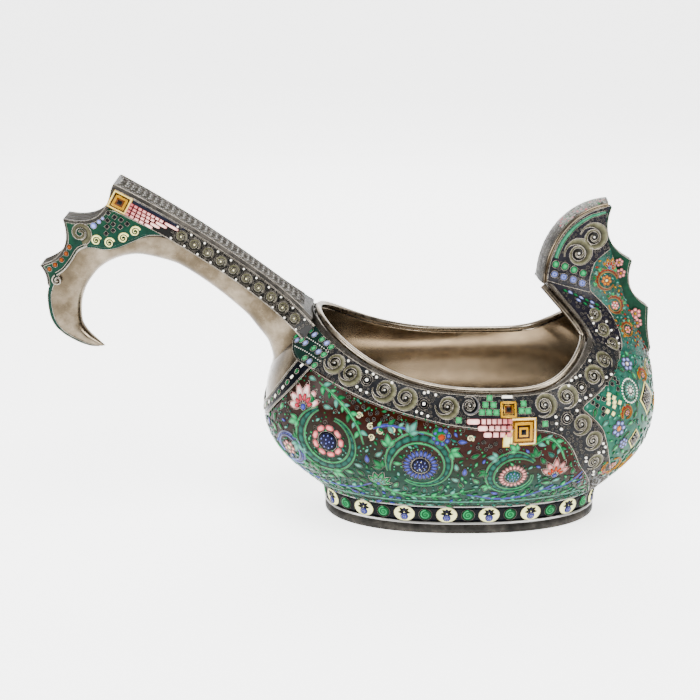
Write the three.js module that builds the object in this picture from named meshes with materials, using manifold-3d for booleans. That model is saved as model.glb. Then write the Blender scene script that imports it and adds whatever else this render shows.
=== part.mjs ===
// A silver kovsh with shaded enamel: an oval bowl on a banded foot, a raised wedge-shaped prow
// with a cusped crest, and a long hollow handle that ends in a cusped hook.
// Millimetres, +Z up. The prow points along +X and the handle runs back along -X.
import * as THREE from 'three';
import { mergeVertices } from 'three/addons/utils/BufferGeometryUtils.js';
import Module from 'manifold-3d';

const wasm = await Module();
wasm.setup();

// Sheet metal, enamel and wire
const sheetThickness = 1.5;
const enamelThickness = 0.8;
const seatGap = 0.3;
const enamelSeat = 0.45;
const rimBeadRadius = 1.5;

// Foot: an upright oval band on a plain base moulding
const footHalfLength = 68.8;
const footHalfWidth = 38.6;
const footOvalShare = 2.3;
const footHeight = 16;
const baseHeight = 4.6;
const baseWidth = 3.4;
const baseTopWidth = 2.2;
const footWireRadius = 0.6;
const footFlare = 1.4;

// Belly: the widest line of the bowl
const bellyFront = 95.2;
const bellyBack = 98.4;
const bellyHalfWidth = 57.4;
const bellyHeight = 57;
const bellyOvalShare = 2.2;

// Rim: an oval that rises towards both ends
const rimCentre = 12;
const rimFront = 48.5;
const rimBack = 85.5;
const rimHalfWidth = 51.2;
const rimLow = 77.3;
const rimFrontRise = 22.2;
const rimBackRise = 27.2;
const rimFrontOvalShare = 2.8;
const rimBackOvalShare = 2.1;
const rimRiseShare = 2.55;
const rimDrawShare = 0.8;

// Prow: two wedge cheeks between a crescent crown at the back and a cusped blade in front
const prowLow = 81;
const prowTop = 157;
const prowHeight = prowTop - prowLow;
const prowReach = 94;
const crownBack = 39;
const crownLow = 120.8;
const crownTip = 68.5;
const bladeHalf = 2.4;
const bladeInset = 3;
const keelHalf = 4.2;
const headSpread = 5;
const spreadRun = 30;
const neckFadeHeight = 125;
const neckBluntHeight = 113;
const crownThickness = 1.6;
const crownCrown = 1.4;
const crownOverhang = 1;

// Handle: top plate, side bands and a rounded channel below
const handleRootX = -74.5;
const handleRootZ = 104.6;
const handleEndX = -168.5;
const handleBow = 3.2;
const handleWaist = 7.8;
const handleRootFlare = 8.5;
const handleEndFlare = 4.2;
const plateThickness = 1.5;
const bandHeight = 9;
const bandThickness = 1.8;
const channelDepth = 21;

// Hook: cheeks, a cusped crest strip and a tapering horn
const hookReach = 206.6;
const hookHeight = 169.3;
const hookHalfWidth = 9.4;
const cheekThickness = 1.8;
const hookCuspHalf = 6.6;
const crestThickness = 1.3;

// Shares of the turn round the bowl and of the rise up its wall
const shoulderTurnShare = 1 / 6;
const rimStartTurnShare = 1 / 9;
const bellyRiseShare = 0.5;
const stepShare = 0.01;

// The front line of the prow's cheeks: share of the height, share of the reach
const keelShares = [
  [0, 0.982], [0.2, 0.902], [0.42, 0.83], [0.62, 0.777], [0.82, 0.727], [0.93, 0.72], [1, 0.737],
];

// The channel below the handle: share of the run, and depth of its floor as a share of channelDepth
const channelDepthShares = [
  [-0.12, 2.35], [-0.038, 1.76], [-0.013, 1.53], [0.039, 1.33], [0.065, 1.26],
  [0.137, 1.17], [0.21, 1.08], [0.42, 1], [0.6, 1],
];

// The width of the channel: share of the run, and share of the plate's half width
const channelWidthShares = [
  [-0.12, 0.62], [0, 0.7], [0.03, 0.79], [0.09, 0.9], [0.21, 0.95], [0.42, 0.95], [0.6, 0.93],
];
const channelStartShare = -0.12;
const channelEndShare = 0.6;
const channelCrowdShare = 1.4;
const channelSteps = 14;

// The horn's stations: inner line (x, z) and outer line (x, z) as shares of the hook's reach and
// height, and the half width as a share of hookHalfWidth
const hornShares = [
  [-0.726, 0.7714, -0.704, 0.848, 0.957],
  [-0.76, 0.784, -0.7406, 0.8494, 0.99],
  [-0.789, 0.783, -0.7744, 0.833, 1],
  [-0.8166, 0.775, -0.808, 0.816, 0.98],
  [-0.842, 0.761, -0.842, 0.8086, 0.936],
  [-0.8664, 0.74, -0.876, 0.813, 0.872],
  [-0.8858, 0.712, -0.905, 0.803, 0.81],
  [-0.9, 0.684, -0.929, 0.764, 0.766],
  [-0.91, 0.65, -0.958, 0.725, 0.713],
  [-0.914, 0.614, -0.978, 0.673, 0.66],
  [-0.913, 0.582, -0.977, 0.614, 0.617],
  [-0.906, 0.561, -0.967, 0.5765, 0.553],
  [-0.8945, 0.542, -0.948, 0.549, 0.468],
  [-0.881, 0.5257, -0.9187, 0.525, 0.35],
  [-0.869, 0.5115, -0.89, 0.509, 0.21],
  [-0.8626, 0.504, -0.864, 0.5035, 0.07],
];
const hornHollowCount = 12;
const hornStripCount = 9;
const channelJoinShare = 0.96;
const stationGapShare = 0.1;
const channelRoundShare = 2.6;

// The crest of the hook: the two cusps and the end of the arc below them, as shares of the reach and
// the height, and how deep each arc bites as a share of its length
const crestCuspShares = [[-0.9385, 0.8955], [-1, 0.757], [-0.985, 0.7]];
const crestBiteShares = [0.27, 0.245, 0.1];

// The blade of the prow: its tip, cusps and foot as shares of the reach and of the prow's height,
// and how deep each arc bites
const bladeCuspShares = [[0.751, 0.99], [0.871, 0.637], [0.971, 0.326], [0.995, 0.05], [0.982, 0]];
const bladeBiteShares = [0.22, 0.2, 0.04, 0];

const vec = (x, y, z) => new THREE.Vector3(x, y, z);
const mix = (a, b, t) => a + (b - a) * t;
const mixPoint = (a, b, t) => a.clone().lerp(b, t);

const silver = { color: 0xb9b2a6, roughness: 0.32, metalness: 1 };
const darkSilver = { color: 0x5d5b58, roughness: 0.45, metalness: 0.9 };
const slateEnamel = { color: 0x4a4c55, roughness: 0.25, metalness: 0 };
const greenEnamel = { color: 0x2f7f66, roughness: 0.2, metalness: 0 };
const tealEnamel = { color: 0x2e6f5d, roughness: 0.2, metalness: 0 };
const nightEnamel = { color: 0x141820, roughness: 0.2, metalness: 0 };

// A smooth value read from rows of [place, value]
function readTable(rows, place) {
  const last = rows.length - 1;
  const at = Math.min(Math.max(place, rows[0][0]), rows[last][0]);
  let i = 0;
  while (i < last - 1 && at > rows[i + 1][0]) i += 1;
  const slope = (j) => {
    const a = rows[Math.max(j - 1, 0)];
    const b = rows[Math.min(j + 1, last)];
    return (b[1] - a[1]) / (b[0] - a[0]);
  };
  const run = rows[i + 1][0] - rows[i][0];
  const t = (at - rows[i][0]) / run;
  const t2 = t * t;
  const t3 = t2 * t;
  return rows[i][1] * (2 * t3 - 3 * t2 + 1) + rows[i + 1][1] * (3 * t2 - 2 * t3)
    + run * slope(i) * (t3 - 2 * t2 + t) + run * slope(i + 1) * (t3 - t2);
}

// A point on an oval whose corners are fuller than an ellipse's when the share is above 2
function ovalPoint(halfX, halfY, share, angle, z) {
  const c = Math.cos(angle);
  const s = Math.max(Math.sin(angle), 0);
  return vec(Math.sign(c) * halfX * Math.abs(c) ** (2 / share), halfY * s ** (2 / share), z);
}

function bezierPoint(a, b, c, d, t) {
  const s = 1 - t;
  const point = a.clone().multiplyScalar(s * s * s);
  point.addScaledVector(b, 3 * s * s * t);
  point.addScaledVector(c, 3 * s * t * t);
  return point.addScaledVector(d, t * t * t);
}

// Prow surface: the half width of the prow at a place seen from the side

function keelX(z) {
  return prowReach * readTable(keelShares, (z - prowLow) / (prowTop - prowLow));
}

const rimStartAngle = Math.PI * rimStartTurnShare;
const lipCorner = rimPoint(rimStartAngle);
const keelOpenShare = 0.079;
const neckBluntShare = 0.45;
const neckFadeShare = 1.4;

function neckFade(z) {
  const t = Math.min(Math.max((z - prowLow) / (neckFadeHeight - prowLow), 0), 1);
  return (1 - t) ** neckFadeShare;
}

function sectionPower(z) {
  const t = Math.min(Math.max((z - prowLow) / (neckBluntHeight - prowLow), 0), 1);
  return 1 - neckBluntShare * (1 - t);
}

function keelOpening(z) {
  const t = Math.min(Math.max((z - prowLow) / (keelOpenShare * prowHeight), 0), 1);
  return keelHalf * t * (2 - t);
}

function spreadAt(x, z) {
  const behind = Math.max(keelX(z) - x, 0);
  return (behind / spreadRun) ** sectionPower(z);
}

const neckSpread = ((lipCorner.y - keelOpening(lipCorner.z)) / spreadAt(lipCorner.x, lipCorner.z)
  - headSpread) / neckFade(lipCorner.z);

function prowHalfWidth(x, z) {
  return keelOpening(z) + (headSpread + neckSpread * neckFade(z)) * spreadAt(x, z);
}

// Rim, in half turns from the prow (0) to the handle (pi)
function rimPoint(angle) {
  const front = angle < Math.PI / 2;
  const half = front ? rimFront : rimBack;
  const share = front ? rimFrontOvalShare : rimBackOvalShare;
  const rise = front ? rimFrontRise : rimBackRise;
  const flat = ovalPoint(half, rimHalfWidth, share, angle, 0);
  const climb = Math.abs(Math.cos(angle)) ** rimRiseShare;
  return vec(rimCentre + flat.x, flat.y, rimLow + rise * climb);
}

const shoulderTurn = Math.PI * shoulderTurnShare;
const keelStart = vec(keelX(prowLow), 0, prowLow);

// The top of a rib: on the rim, or in front of the lip's corner on the shoulder line
function ribTop(turn) {
  if (turn >= shoulderTurn) {
    const along = (turn - shoulderTurn) / (Math.PI - shoulderTurn);
    return rimPoint(mix(rimStartAngle, Math.PI, along ** rimDrawShare));
  }
  const forward = 1 - turn / shoulderTurn;
  const x = mix(lipCorner.x, keelStart.x, forward);
  const z = mix(lipCorner.z, keelStart.z, forward);
  return vec(x, prowHalfWidth(x, z), z);
}

function footTopPoint(turn) {
  return ovalPoint(footHalfLength + footFlare, footHalfWidth + footFlare, footOvalShare, turn, footHeight);
}

function bellyPoint(turn) {
  const half = turn < Math.PI / 2 ? bellyFront : bellyBack;
  return ovalPoint(half, bellyHalfWidth, bellyOvalShare, turn, bellyHeight);
}

const lowerLeanShare = 0.62;
const lowerLiftShare = 0.36;
const lowerHangShare = 0.45;
const upperLiftShare = 0.45;
const upperLeanShare = 0.6;
const upperDropShare = 0.27;

// Under the neck the bowl's wall runs on into the prow's cheek without a crease
const tangentStepShare = 0.15;
const blendTurnShare = 0.12;

function neckTangentY(top, arrive) {
  const near = mixPoint(top, arrive, tangentStepShare);
  const level = Math.max(near.z, prowLow);
  const slope = (prowHalfWidth(near.x, level) - prowHalfWidth(top.x, top.z)) / tangentStepShare;
  return top.y + slope;
}

function rimBlend(turn) {
  const t = (turn - shoulderTurn) / (Math.PI * blendTurnShare);
  return Math.min(Math.max(t, 0), 1);
}

// One point of the bowl's outer skin on its left half
function hullPoint(turn, rise) {
  const foot = footTopPoint(turn);
  const belly = bellyPoint(turn);
  const top = ribTop(turn);
  if (rise <= bellyRiseShare) {
    const climb = belly.z - foot.z;
    const leave = mixPoint(foot, belly, lowerLeanShare);
    leave.z = foot.z + climb * lowerLiftShare;
    const arrive = belly.clone();
    arrive.z -= climb * lowerHangShare;
    return bezierPoint(foot, leave, arrive, belly, rise / bellyRiseShare);
  }
  const climb = top.z - belly.z;
  const leave = belly.clone();
  leave.z += climb * upperLiftShare;
  const arrive = mixPoint(top, belly, upperLeanShare);
  arrive.z = top.z - climb * upperDropShare;
  arrive.y = mix(neckTangentY(top, arrive), arrive.y, rimBlend(turn));
  return bezierPoint(belly, leave, arrive, top, (rise - bellyRiseShare) / (1 - bellyRiseShare));
}

// The prow's back edge, seen from the side: up the neck, then round the crown
const neckEndShare = 0.4;
const neckLineShares = [0.03, 0.2, 0.53, 0.58];
const crownLineShares = [0.02, 0.5, 0.4, 0.95];

function planeBezier(a, d, shares, t) {
  const wide = d.x - a.x;
  const tall = d.z - a.z;
  const b = vec(a.x + wide * shares[0], 0, a.z + tall * shares[1]);
  const c = vec(a.x + wide * shares[2], 0, a.z + tall * shares[3]);
  return bezierPoint(a, b, c, d, t);
}

const crownCorner = vec(crownBack, 0, crownLow);
const crownEnd = vec(crownTip, 0, prowTop);

function prowBack(rise) {
  const start = vec(lipCorner.x, 0, lipCorner.z);
  if (rise < neckEndShare) return planeBezier(start, crownCorner, neckLineShares, rise / neckEndShare);
  const along = (rise - neckEndShare) / (1 - neckEndShare);
  return planeBezier(crownCorner, crownEnd, crownLineShares, along);
}

function prowFront(rise) {
  const z = mix(prowLow, prowTop, rise);
  return vec(keelX(z), 0, z);
}

// One point of the prow's left cheek: forward 0 at the back edge, 1 at the blade
function cheekPoint(forward, rise) {
  const point = mixPoint(prowBack(rise), prowFront(rise), forward);
  point.y = prowHalfWidth(point.x, point.z);
  return point;
}

// Closed bodies

function toGeometry(points, faces) {
  const geometry = new THREE.BufferGeometry();
  const flat = points.flatMap((p) => [p.x, p.y, p.z]);
  geometry.setAttribute('position', new THREE.Float32BufferAttribute(flat, 3));
  geometry.setIndex(faces.flat());
  return outwards(mergeVertices(geometry));
}

function outwards(geometry) {
  const index = Array.from(geometry.index.array);
  const position = geometry.attributes.position;
  const corner = (i) => vec(position.getX(i), position.getY(i), position.getZ(i));
  let volume = 0;
  for (let i = 0; i < index.length; i += 3) {
    volume += corner(index[i]).dot(corner(index[i + 1]).cross(corner(index[i + 2])));
  }
  if (volume < 0) {
    for (let i = 0; i < index.length; i += 3) {
      [index[i + 1], index[i + 2]] = [index[i + 2], index[i + 1]];
    }
  }
  geometry.setIndex(index);
  return geometry;
}

// The end of a ring: its first half is zipped to its second half, so a hollow ring stays hollow
function capFaces(count) {
  const faces = [];
  for (let i = 0; i + 1 < count - 1 - i; i += 1) {
    const j = count - 1 - i;
    faces.push([i, i + 1, j]);
    if (i + 1 < j - 1) faces.push([i + 1, j - 1, j]);
  }
  return faces;
}

// Rings of equal length joined one after another, closed at both ends or onto each other
function ringBody(rings, closed) {
  const count = rings[0].length;
  const points = rings.flat();
  const faces = [];
  const joins = closed ? rings.length : rings.length - 1;
  for (let j = 0; j < joins; j += 1) {
    const low = j * count;
    const high = ((j + 1) % rings.length) * count;
    for (let i = 0; i < count; i += 1) {
      const k = (i + 1) % count;
      faces.push([low + i, low + k, high + k], [low + i, high + k, high + i]);
    }
  }
  if (!closed) {
    const last = (rings.length - 1) * count;
    capFaces(count).forEach(([a, b, c]) => {
      faces.push([c, b, a], [last + a, last + b, last + c]);
    });
  }
  return toGeometry(points, faces);
}

// A plate between an outer and an inner grid of points
function plateBody(outer, inner) {
  const rows = outer.length;
  const columns = outer[0].length;
  const points = [...outer.flat(), ...inner.flat()];
  const back = rows * columns;
  const at = (j, i) => j * columns + i;
  const faces = [];
  const quad = (a, b, c, d) => faces.push([a, b, c], [a, c, d]);
  for (let j = 0; j < rows - 1; j += 1) {
    for (let i = 0; i < columns - 1; i += 1) {
      quad(at(j, i), at(j, i + 1), at(j + 1, i + 1), at(j + 1, i));
      quad(back + at(j, i), back + at(j + 1, i), back + at(j + 1, i + 1), back + at(j, i + 1));
    }
  }
  for (let j = 0; j < rows - 1; j += 1) {
    quad(at(j, 0), at(j + 1, 0), back + at(j + 1, 0), back + at(j, 0));
    const low = at(j, columns - 1);
    const high = at(j + 1, columns - 1);
    quad(high, low, back + low, back + high);
  }
  for (let i = 0; i < columns - 1; i += 1) {
    quad(at(0, i + 1), at(0, i), back + at(0, i), back + at(0, i + 1));
    quad(at(rows - 1, i), at(rows - 1, i + 1), back + at(rows - 1, i + 1), back + at(rows - 1, i));
  }
  return toGeometry(points, faces);
}

// A skin over part of a surface, from one height above it to another
function normalAt(surface, u, v) {
  const u0 = Math.max(u - stepShare, 0);
  const u1 = Math.min(u + stepShare, 1);
  const v0 = Math.max(v - stepShare, 0);
  const v1 = Math.min(v + stepShare, 1);
  const along = surface(u1, v).sub(surface(u0, v));
  const up = surface(u, v1).sub(surface(u, v0));
  return up.cross(along).normalize();
}

function skinBody(surface, area, columns, rows, low, high) {
  const outer = [];
  const inner = [];
  for (let j = 0; j <= rows; j += 1) {
    outer.push([]);
    inner.push([]);
    for (let i = 0; i <= columns; i += 1) {
      const [u, v] = area(i / columns, j / rows);
      const normal = normalAt(surface, u, v);
      const point = surface(u, v);
      outer[j].push(point.clone().addScaledVector(normal, high));
      inner[j].push(point.clone().addScaledVector(normal, low));
    }
  }
  return plateBody(outer, inner);
}

// Left half surfaces on shares from 0 to 1, with their normals facing out
const hullSurface = (u, v) => hullPoint(Math.PI * (1 - u), v);
const cheekSurface = (u, v) => cheekPoint(u, v);

function toManifold(geometry) {
  const bare = new THREE.BufferGeometry();
  bare.setAttribute('position', geometry.attributes.position.clone());
  bare.setIndex(geometry.index);
  const merged = mergeVertices(bare);
  return new wasm.Manifold(new wasm.Mesh({
    numProp: 3,
    vertProperties: new Float32Array(merged.attributes.position.array),
    triVerts: new Uint32Array(merged.index.array),
  }));
}

function fromManifold(solid) {
  const mesh = solid.getMesh();
  const geometry = new THREE.BufferGeometry();
  geometry.setAttribute('position', new THREE.Float32BufferAttribute(mesh.vertProperties, 3));
  geometry.setIndex(Array.from(mesh.triVerts));
  return geometry;
}

function cutBy(geometry, ...cutters) {
  let solid = toManifold(geometry);
  for (const cutter of cutters) solid = solid.subtract(toManifold(cutter));
  return largestBody(solid);
}

function largestBody(solid) {
  const bodies = solid.decompose().sort((a, b) => b.volume() - a.volume());
  return fromManifold(bodies[0]);
}

function mirrored(geometry) {
  const copy = geometry.clone();
  copy.scale(1, -1, 1);
  return outwards(copy);
}

const kovsh = new THREE.Group();
const parts = [];

function add(name, geometry, finish) {
  const shown = geometry.toNonIndexed();
  shown.computeVertexNormals();
  const mesh = new THREE.Mesh(shown, new THREE.MeshStandardMaterial(finish));
  mesh.name = name;
  parts.push(mesh);
}

function addPair(name, geometry, finish) {
  add(`${name}_left`, geometry, finish);
  add(`${name}_right`, mirrored(geometry), finish);
}

// Bowl

const bowlColumns = 36;
const bowlRows = 10;
const footColumns = 22;
const footFloorShare = 0.55;

function fullRing(leftHalf, columns = bowlColumns) {
  const ring = [];
  for (let i = 0; i <= columns; i += 1) ring.push(leftHalf(Math.PI * (i / columns)));
  for (let i = columns - 1; i > 0; i -= 1) {
    const p = leftHalf(Math.PI * (i / columns));
    ring.push(vec(p.x, -p.y, p.z));
  }
  return ring;
}

function hullOffset(turn, rise, offset) {
  const u = 1 - turn / Math.PI;
  const normal = normalAt(hullSurface, u, rise);
  if (turn === 0 || turn === Math.PI) {
    normal.y = 0;
    normal.normalize();
  }
  return hullPoint(turn, rise).addScaledVector(normal, offset);
}

function floorRing(z, inset, share) {
  const halfLength = (footHalfLength + footFlare - inset) * share;
  const halfWidth = (footHalfWidth + footFlare - inset) * share;
  return fullRing((turn) => ovalPoint(halfLength, halfWidth, footOvalShare, turn, z));
}

function bowlShell(offset) {
  const rings = [floorRing(footHeight + offset, 0, footFloorShare)];
  for (let j = 0; j <= bowlRows; j += 1) {
    rings.push(fullRing((turn) => hullOffset(turn, j / bowlRows, offset)));
  }
  for (let j = bowlRows; j > 0; j -= 1) {
    rings.push(fullRing((turn) => hullOffset(turn, j / bowlRows, -sheetThickness)));
  }
  rings.push(floorRing(footHeight + sheetThickness, sheetThickness, 1));
  rings.push(floorRing(footHeight + sheetThickness, sheetThickness, footFloorShare));
  return ringBody(rings, false);
}

add('bowl_shell', bowlShell(0), silver);

// A solid of the whole bowl, for cutting what seats against it
function bowlBlock(offset) {
  const rings = [floorRing(footHeight - offset, -offset, footFloorShare)];
  for (let j = 0; j <= bowlRows; j += 1) {
    rings.push(fullRing((turn) => hullOffset(turn, j / bowlRows, offset)));
  }
  return ringBody(rings, false);
}

// Foot

function footLoop(section) {
  const rings = section.map(([inset, z]) => {
    const halfLength = footHalfLength - inset;
    const halfWidth = footHalfWidth - inset;
    return fullRing((turn) => ovalPoint(halfLength, halfWidth, footOvalShare, turn, z), footColumns);
  });
  return ringBody(rings, true);
}

const bandLow = baseHeight + seatGap;
const bandHigh = footHeight - seatGap;
const bandInset = baseWidth - baseTopWidth;
const bandFlareInset = bandInset - footFlare;

function bandInsetAt(z) {
  return mix(bandInset, bandFlareInset, (z - bandLow) / (bandHigh - bandLow));
}

function footWire(z) {
  const radius = footWireRadius;
  const centre = bandInsetAt(z) - seatGap - radius;
  const section = [];
  for (let i = 0; i < wireSides; i += 1) {
    const angle = (2 * Math.PI * i) / wireSides;
    section.push([centre + radius * Math.cos(angle), z + radius * Math.sin(angle)]);
  }
  return footLoop(section);
}

const wireSides = 6;
const baseShoulderShare = 0.6;
const lowWireZ = bandLow + footWireRadius;
const highWireZ = bandHigh - footWireRadius;
const footEnamelLow = lowWireZ + footWireRadius + seatGap;
const footEnamelHigh = highWireZ - footWireRadius - seatGap;

add('foot_base_moulding', footLoop([
  [0, 0], [0, baseHeight * baseShoulderShare], [baseWidth - baseTopWidth - footWireRadius, baseHeight],
  [baseWidth, baseHeight], [baseWidth, 0],
]), darkSilver);
add('foot_band', footLoop([
  [bandInset, bandLow], [bandFlareInset, bandHigh],
  [bandFlareInset + sheetThickness, bandHigh], [bandInset + sheetThickness, bandLow],
]), darkSilver);
add('foot_low_wire', footWire(lowWireZ), darkSilver);
add('foot_top_wire', footWire(highWireZ), darkSilver);
const enamelOut = enamelSeat + enamelThickness;
add('foot_enamel', footLoop([
  [bandInsetAt(footEnamelLow) - enamelOut, footEnamelLow],
  [bandInsetAt(footEnamelHigh) - enamelOut, footEnamelHigh],
  [bandInsetAt(footEnamelHigh) - enamelSeat, footEnamelHigh],
  [bandInsetAt(footEnamelLow) - enamelSeat, footEnamelLow],
]), nightEnamel);

// Rim bead: a round wire on the lip, up both sides of the neck to the crown

function lipStation(surface, u, v, offU, offV) {
  const edge = surface(u, v);
  const off = edge.clone().sub(surface(u + offU, v + offV)).normalize();
  const normal = normalAt(surface, u, v);
  return { edge, off, normal };
}

const neckStationCount = 8;
const rimStations = bowlColumns * (1 - shoulderTurnShare);
const inwardStepShare = 0.04;

function lipStations() {
  const list = [];
  for (let i = 0; i < neckStationCount; i += 1) {
    list.push(lipStation(cheekSurface, 0, neckEndShare * (1 - i / neckStationCount), inwardStepShare, 0));
  }
  for (let i = 0; i <= rimStations; i += 1) {
    const turnShare = mix(shoulderTurnShare, 1, i / rimStations);
    list.push(lipStation(hullSurface, 1 - turnShare, 1, 0, -inwardStepShare));
  }
  return list;
}

function rimBead(radius) {
  const stations = lipStations();
  const left = stations.map(({ edge, off, normal }, i) => {
    const ahead = stations[Math.min(i + 1, stations.length - 1)].edge;
    const behind = stations[Math.max(i - 1, 0)].edge;
    const along = ahead.clone().sub(behind).normalize();
    const square = off.clone().addScaledVector(along, -off.dot(along)).normalize();
    const centre = edge.clone().addScaledVector(normal, -sheetThickness / 2);
    return centre.addScaledVector(square, seatGap + rimBeadRadius);
  });
  const right = left.slice(0, -1).reverse().map((p) => vec(p.x, -p.y, p.z));
  const line = [...left, ...right];
  line[left.length - 1].y = 0;
  const rings = line.map((centre, i) => {
    const ahead = line[Math.min(i + 1, line.length - 1)];
    const behind = line[Math.max(i - 1, 0)];
    const along = ahead.clone().sub(behind).normalize();
    const side = along.clone().cross(vec(0, 0, 1)).normalize();
    const up = side.clone().cross(along);
    const ring = [];
    for (let k = 0; k < beadSides; k += 1) {
      const angle = (2 * Math.PI * k) / beadSides;
      const point = centre.clone().addScaledVector(side, radius * Math.cos(angle));
      ring.push(point.addScaledVector(up, radius * Math.sin(angle)));
    }
    return ring;
  });
  return ringBody(rings, false);
}

const beadSides = 8;
add('rim_bead', rimBead(rimBeadRadius), silver);
const beadSlot = rimBead(rimBeadRadius + seatGap);

// Prow

// The cusped front line of the blade from the tip (0) to its foot (1)
function arcChain(points, bites, t) {
  const spans = points.length - 1;
  const span = Math.min(Math.floor(t * spans), spans - 1);
  const along = t * spans - span;
  const a = points[span];
  const b = points[span + 1];
  const point = mixPoint(a, b, along);
  const chord = b.clone().sub(a);
  const inward = vec(chord.z, 0, -chord.x);
  return point.addScaledVector(inward, bites[span] * 4 * along * (1 - along));
}

const bladeCusps = bladeCuspShares.map(([x, z]) => vec(x * prowReach, 0, prowLow + z * prowHeight));
const bladeSpanSteps = 7;

function bladeBody(half, inset, grow) {
  const count = bladeSpanSteps * (bladeCusps.length - 1);
  const rings = [];
  for (let i = 0; i <= count; i += 1) {
    const front = arcChain(bladeCusps, bladeBiteShares, i / count);
    const z = mix(prowTop, prowLow, i / count);
    const back = vec(keelX(z) - inset, 0, z);
    const reach = front.clone().addScaledVector(front.clone().sub(back).normalize(), grow);
    rings.push([
      vec(reach.x, half, reach.z), vec(reach.x, -half, reach.z),
      vec(back.x, -half, back.z), vec(back.x, half, back.z),
    ]);
  }
  return ringBody(rings, false);
}

const cheekColumns = bowlColumns * shoulderTurnShare;
const cheekRows = 15;
const bladeSlot = bladeBody(bladeHalf + seatGap, bladeInset + seatGap, seatGap);
const hullSlot = bowlBlock(seatGap);

const seatedArea = (u, v) => [u, mix(cheekFootShare, cheekTopShare, v)];
const cheekFootShare = 0.006;
const cheekTopShare = 0.985;
const cheekPlate = skinBody(cheekSurface, seatedArea, cheekColumns, cheekRows, -sheetThickness, 0);
addPair('prow_cheek', cutBy(cheekPlate, bladeSlot, hullSlot, beadSlot), silver);
const headSkin = skinBody(cheekSurface, seatedArea, cheekColumns, cheekRows, enamelSeat, enamelOut);
addPair('head_enamel', cutBy(headSkin, bladeSlot, hullSlot, beadSlot), slateEnamel);
add('prow_blade', cutBy(bladeBody(bladeHalf, bladeInset, 0), hullSlot), tealEnamel);

const crownSteps = 14;
const crownPointCount = 6;

function crownBody() {
  const rings = [];
  for (let i = 0; i <= crownSteps; i += 1) {
    const rise = mix(neckEndShare, 1, i / crownSteps);
    const edge = prowBack(rise);
    const ahead = prowBack(Math.min(rise + stepShare, 1));
    const behind = prowBack(Math.max(rise - stepShare, neckEndShare + stepShare / 2));
    const along = ahead.sub(behind).normalize();
    const out = vec(-along.z, 0, along.x);
    const half = prowHalfWidth(edge.x, edge.z) + crownOverhang;
    const top = [];
    const bottom = [];
    for (let k = 0; k <= crownPointCount; k += 1) {
      const across = 1 - (2 * k) / crownPointCount;
      const arch = crownCrown * (1 - across * across);
      const at = edge.clone().addScaledVector(out, seatGap + arch);
      bottom.push(vec(at.x, half * across, at.z));
      at.addScaledVector(out, crownThickness);
      top.push(vec(at.x, half * across, at.z));
    }
    rings.push([...top, ...bottom.reverse()]);
  }
  return ringBody(rings, false);
}

add('prow_crown', cutBy(crownBody(), beadSlot), darkSilver);

// Enamel on the bowl: a collar under the rim, a panel on each side and one in front

const skinTopShare = 0.985;
const collarBackTurnShare = 0.812;
const collarFrontTurnShare = shoulderTurnShare + 0.004;
const leafTurnShare = 0.309;
const leafTopShare = 0.575;
const panelGapShare = 0.004;
const panelLowShare = 0.03;
const turnToU = (turnShare) => 1 - turnShare;

// The line between the collar and the side panel: share of the turn, share of the rise
const panelLineShares = [
  [0.4, 0.579], [0.49, 0.614], [0.59, 0.717], [0.7, 0.786], [0.814, 0.8], [0.9235, 0.479], [1, 0.37],
];

// The leaf of the collar that runs down to the foot: share of the rise, shares of the turn on its
// front line and on its back line
const leafFrontShares = [[0.03, 0.12], [0.1, 0.16], [0.3, 0.235], [0.5, 0.275], [0.7, 0.309]];
const leafBackShares = [[0.03, 0.19], [0.088, 0.226], [0.3, 0.3075], [0.475, 0.35], [0.579, 0.4]];

// The line between the front panel and the collar on the shoulder: share of the rise, share of the turn
const frontLineShares = [[0.7, 0.309], [0.74, 0.28], [0.775, 0.2285], [0.8, 0.175], [0.985, 0.13]];
const shoulderLineShares = [[0.17, 0.85], [0.185, 0.83], [0.2285, 0.806], [0.28, 0.765], [0.309, 0.71]];

function collarLow(turnShare) {
  return turnShare < panelLineShares[0][0] ? leafTopShare : readTable(panelLineShares, turnShare);
}

function collarArea(u, v) {
  const turnShare = mix(collarBackTurnShare, leafTurnShare, u);
  return [turnToU(turnShare), mix(collarLow(turnShare) + panelGapShare, skinTopShare, v)];
}

function shoulderArea(u, v) {
  const turnShare = mix(leafTurnShare + panelGapShare, collarFrontTurnShare, u);
  const low = readTable(shoulderLineShares, turnShare) + 2 * panelGapShare;
  return [turnToU(turnShare), mix(low, skinTopShare, v)];
}

function leafArea(u, v) {
  const rise = mix(panelLowShare, leafTopShare + 2 * panelGapShare, v);
  const back = readTable(leafBackShares, rise) - 2 * panelGapShare;
  const front = readTable(leafFrontShares, rise) + panelGapShare;
  return [turnToU(mix(back, front, u)), rise];
}

// The side panel follows the leaf's back line in front and the panel line behind it
function sideArea(u, v) {
  const turnShare = mix(1 - panelGapShare, leafBackShares[0][1] + panelGapShare, u);
  const behind = turnShare > panelLineShares[0][0];
  const line = behind ? panelLineShares : leafBackShares.map(([rise, turn]) => [turn, rise]);
  return [turnToU(turnShare), mix(panelLowShare, readTable(line, turnShare) - panelGapShare, v)];
}

function frontArea(u, v) {
  const rise = mix(panelLowShare, skinTopShare, v);
  const line = rise > leafFrontShares[leafFrontShares.length - 1][0] ? frontLineShares : leafFrontShares;
  return [turnToU(mix(readTable(line, rise) - panelGapShare, panelGapShare, u)), rise];
}

// The diagonal band runs from the collar's back end down to the stern: share of its run, share of
// the rise on its lower and its upper edge
const diagonalLowShares = [[0, 0.81], [0.59, 0.49], [1, 0.38]];
const diagonalHighShares = [[0, 0.88], [0.69, 0.55], [1, 0.46]];
const diagonalLowTurnShare = 0.82;
const diagonalHighTurnShare = 0.86;

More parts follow.
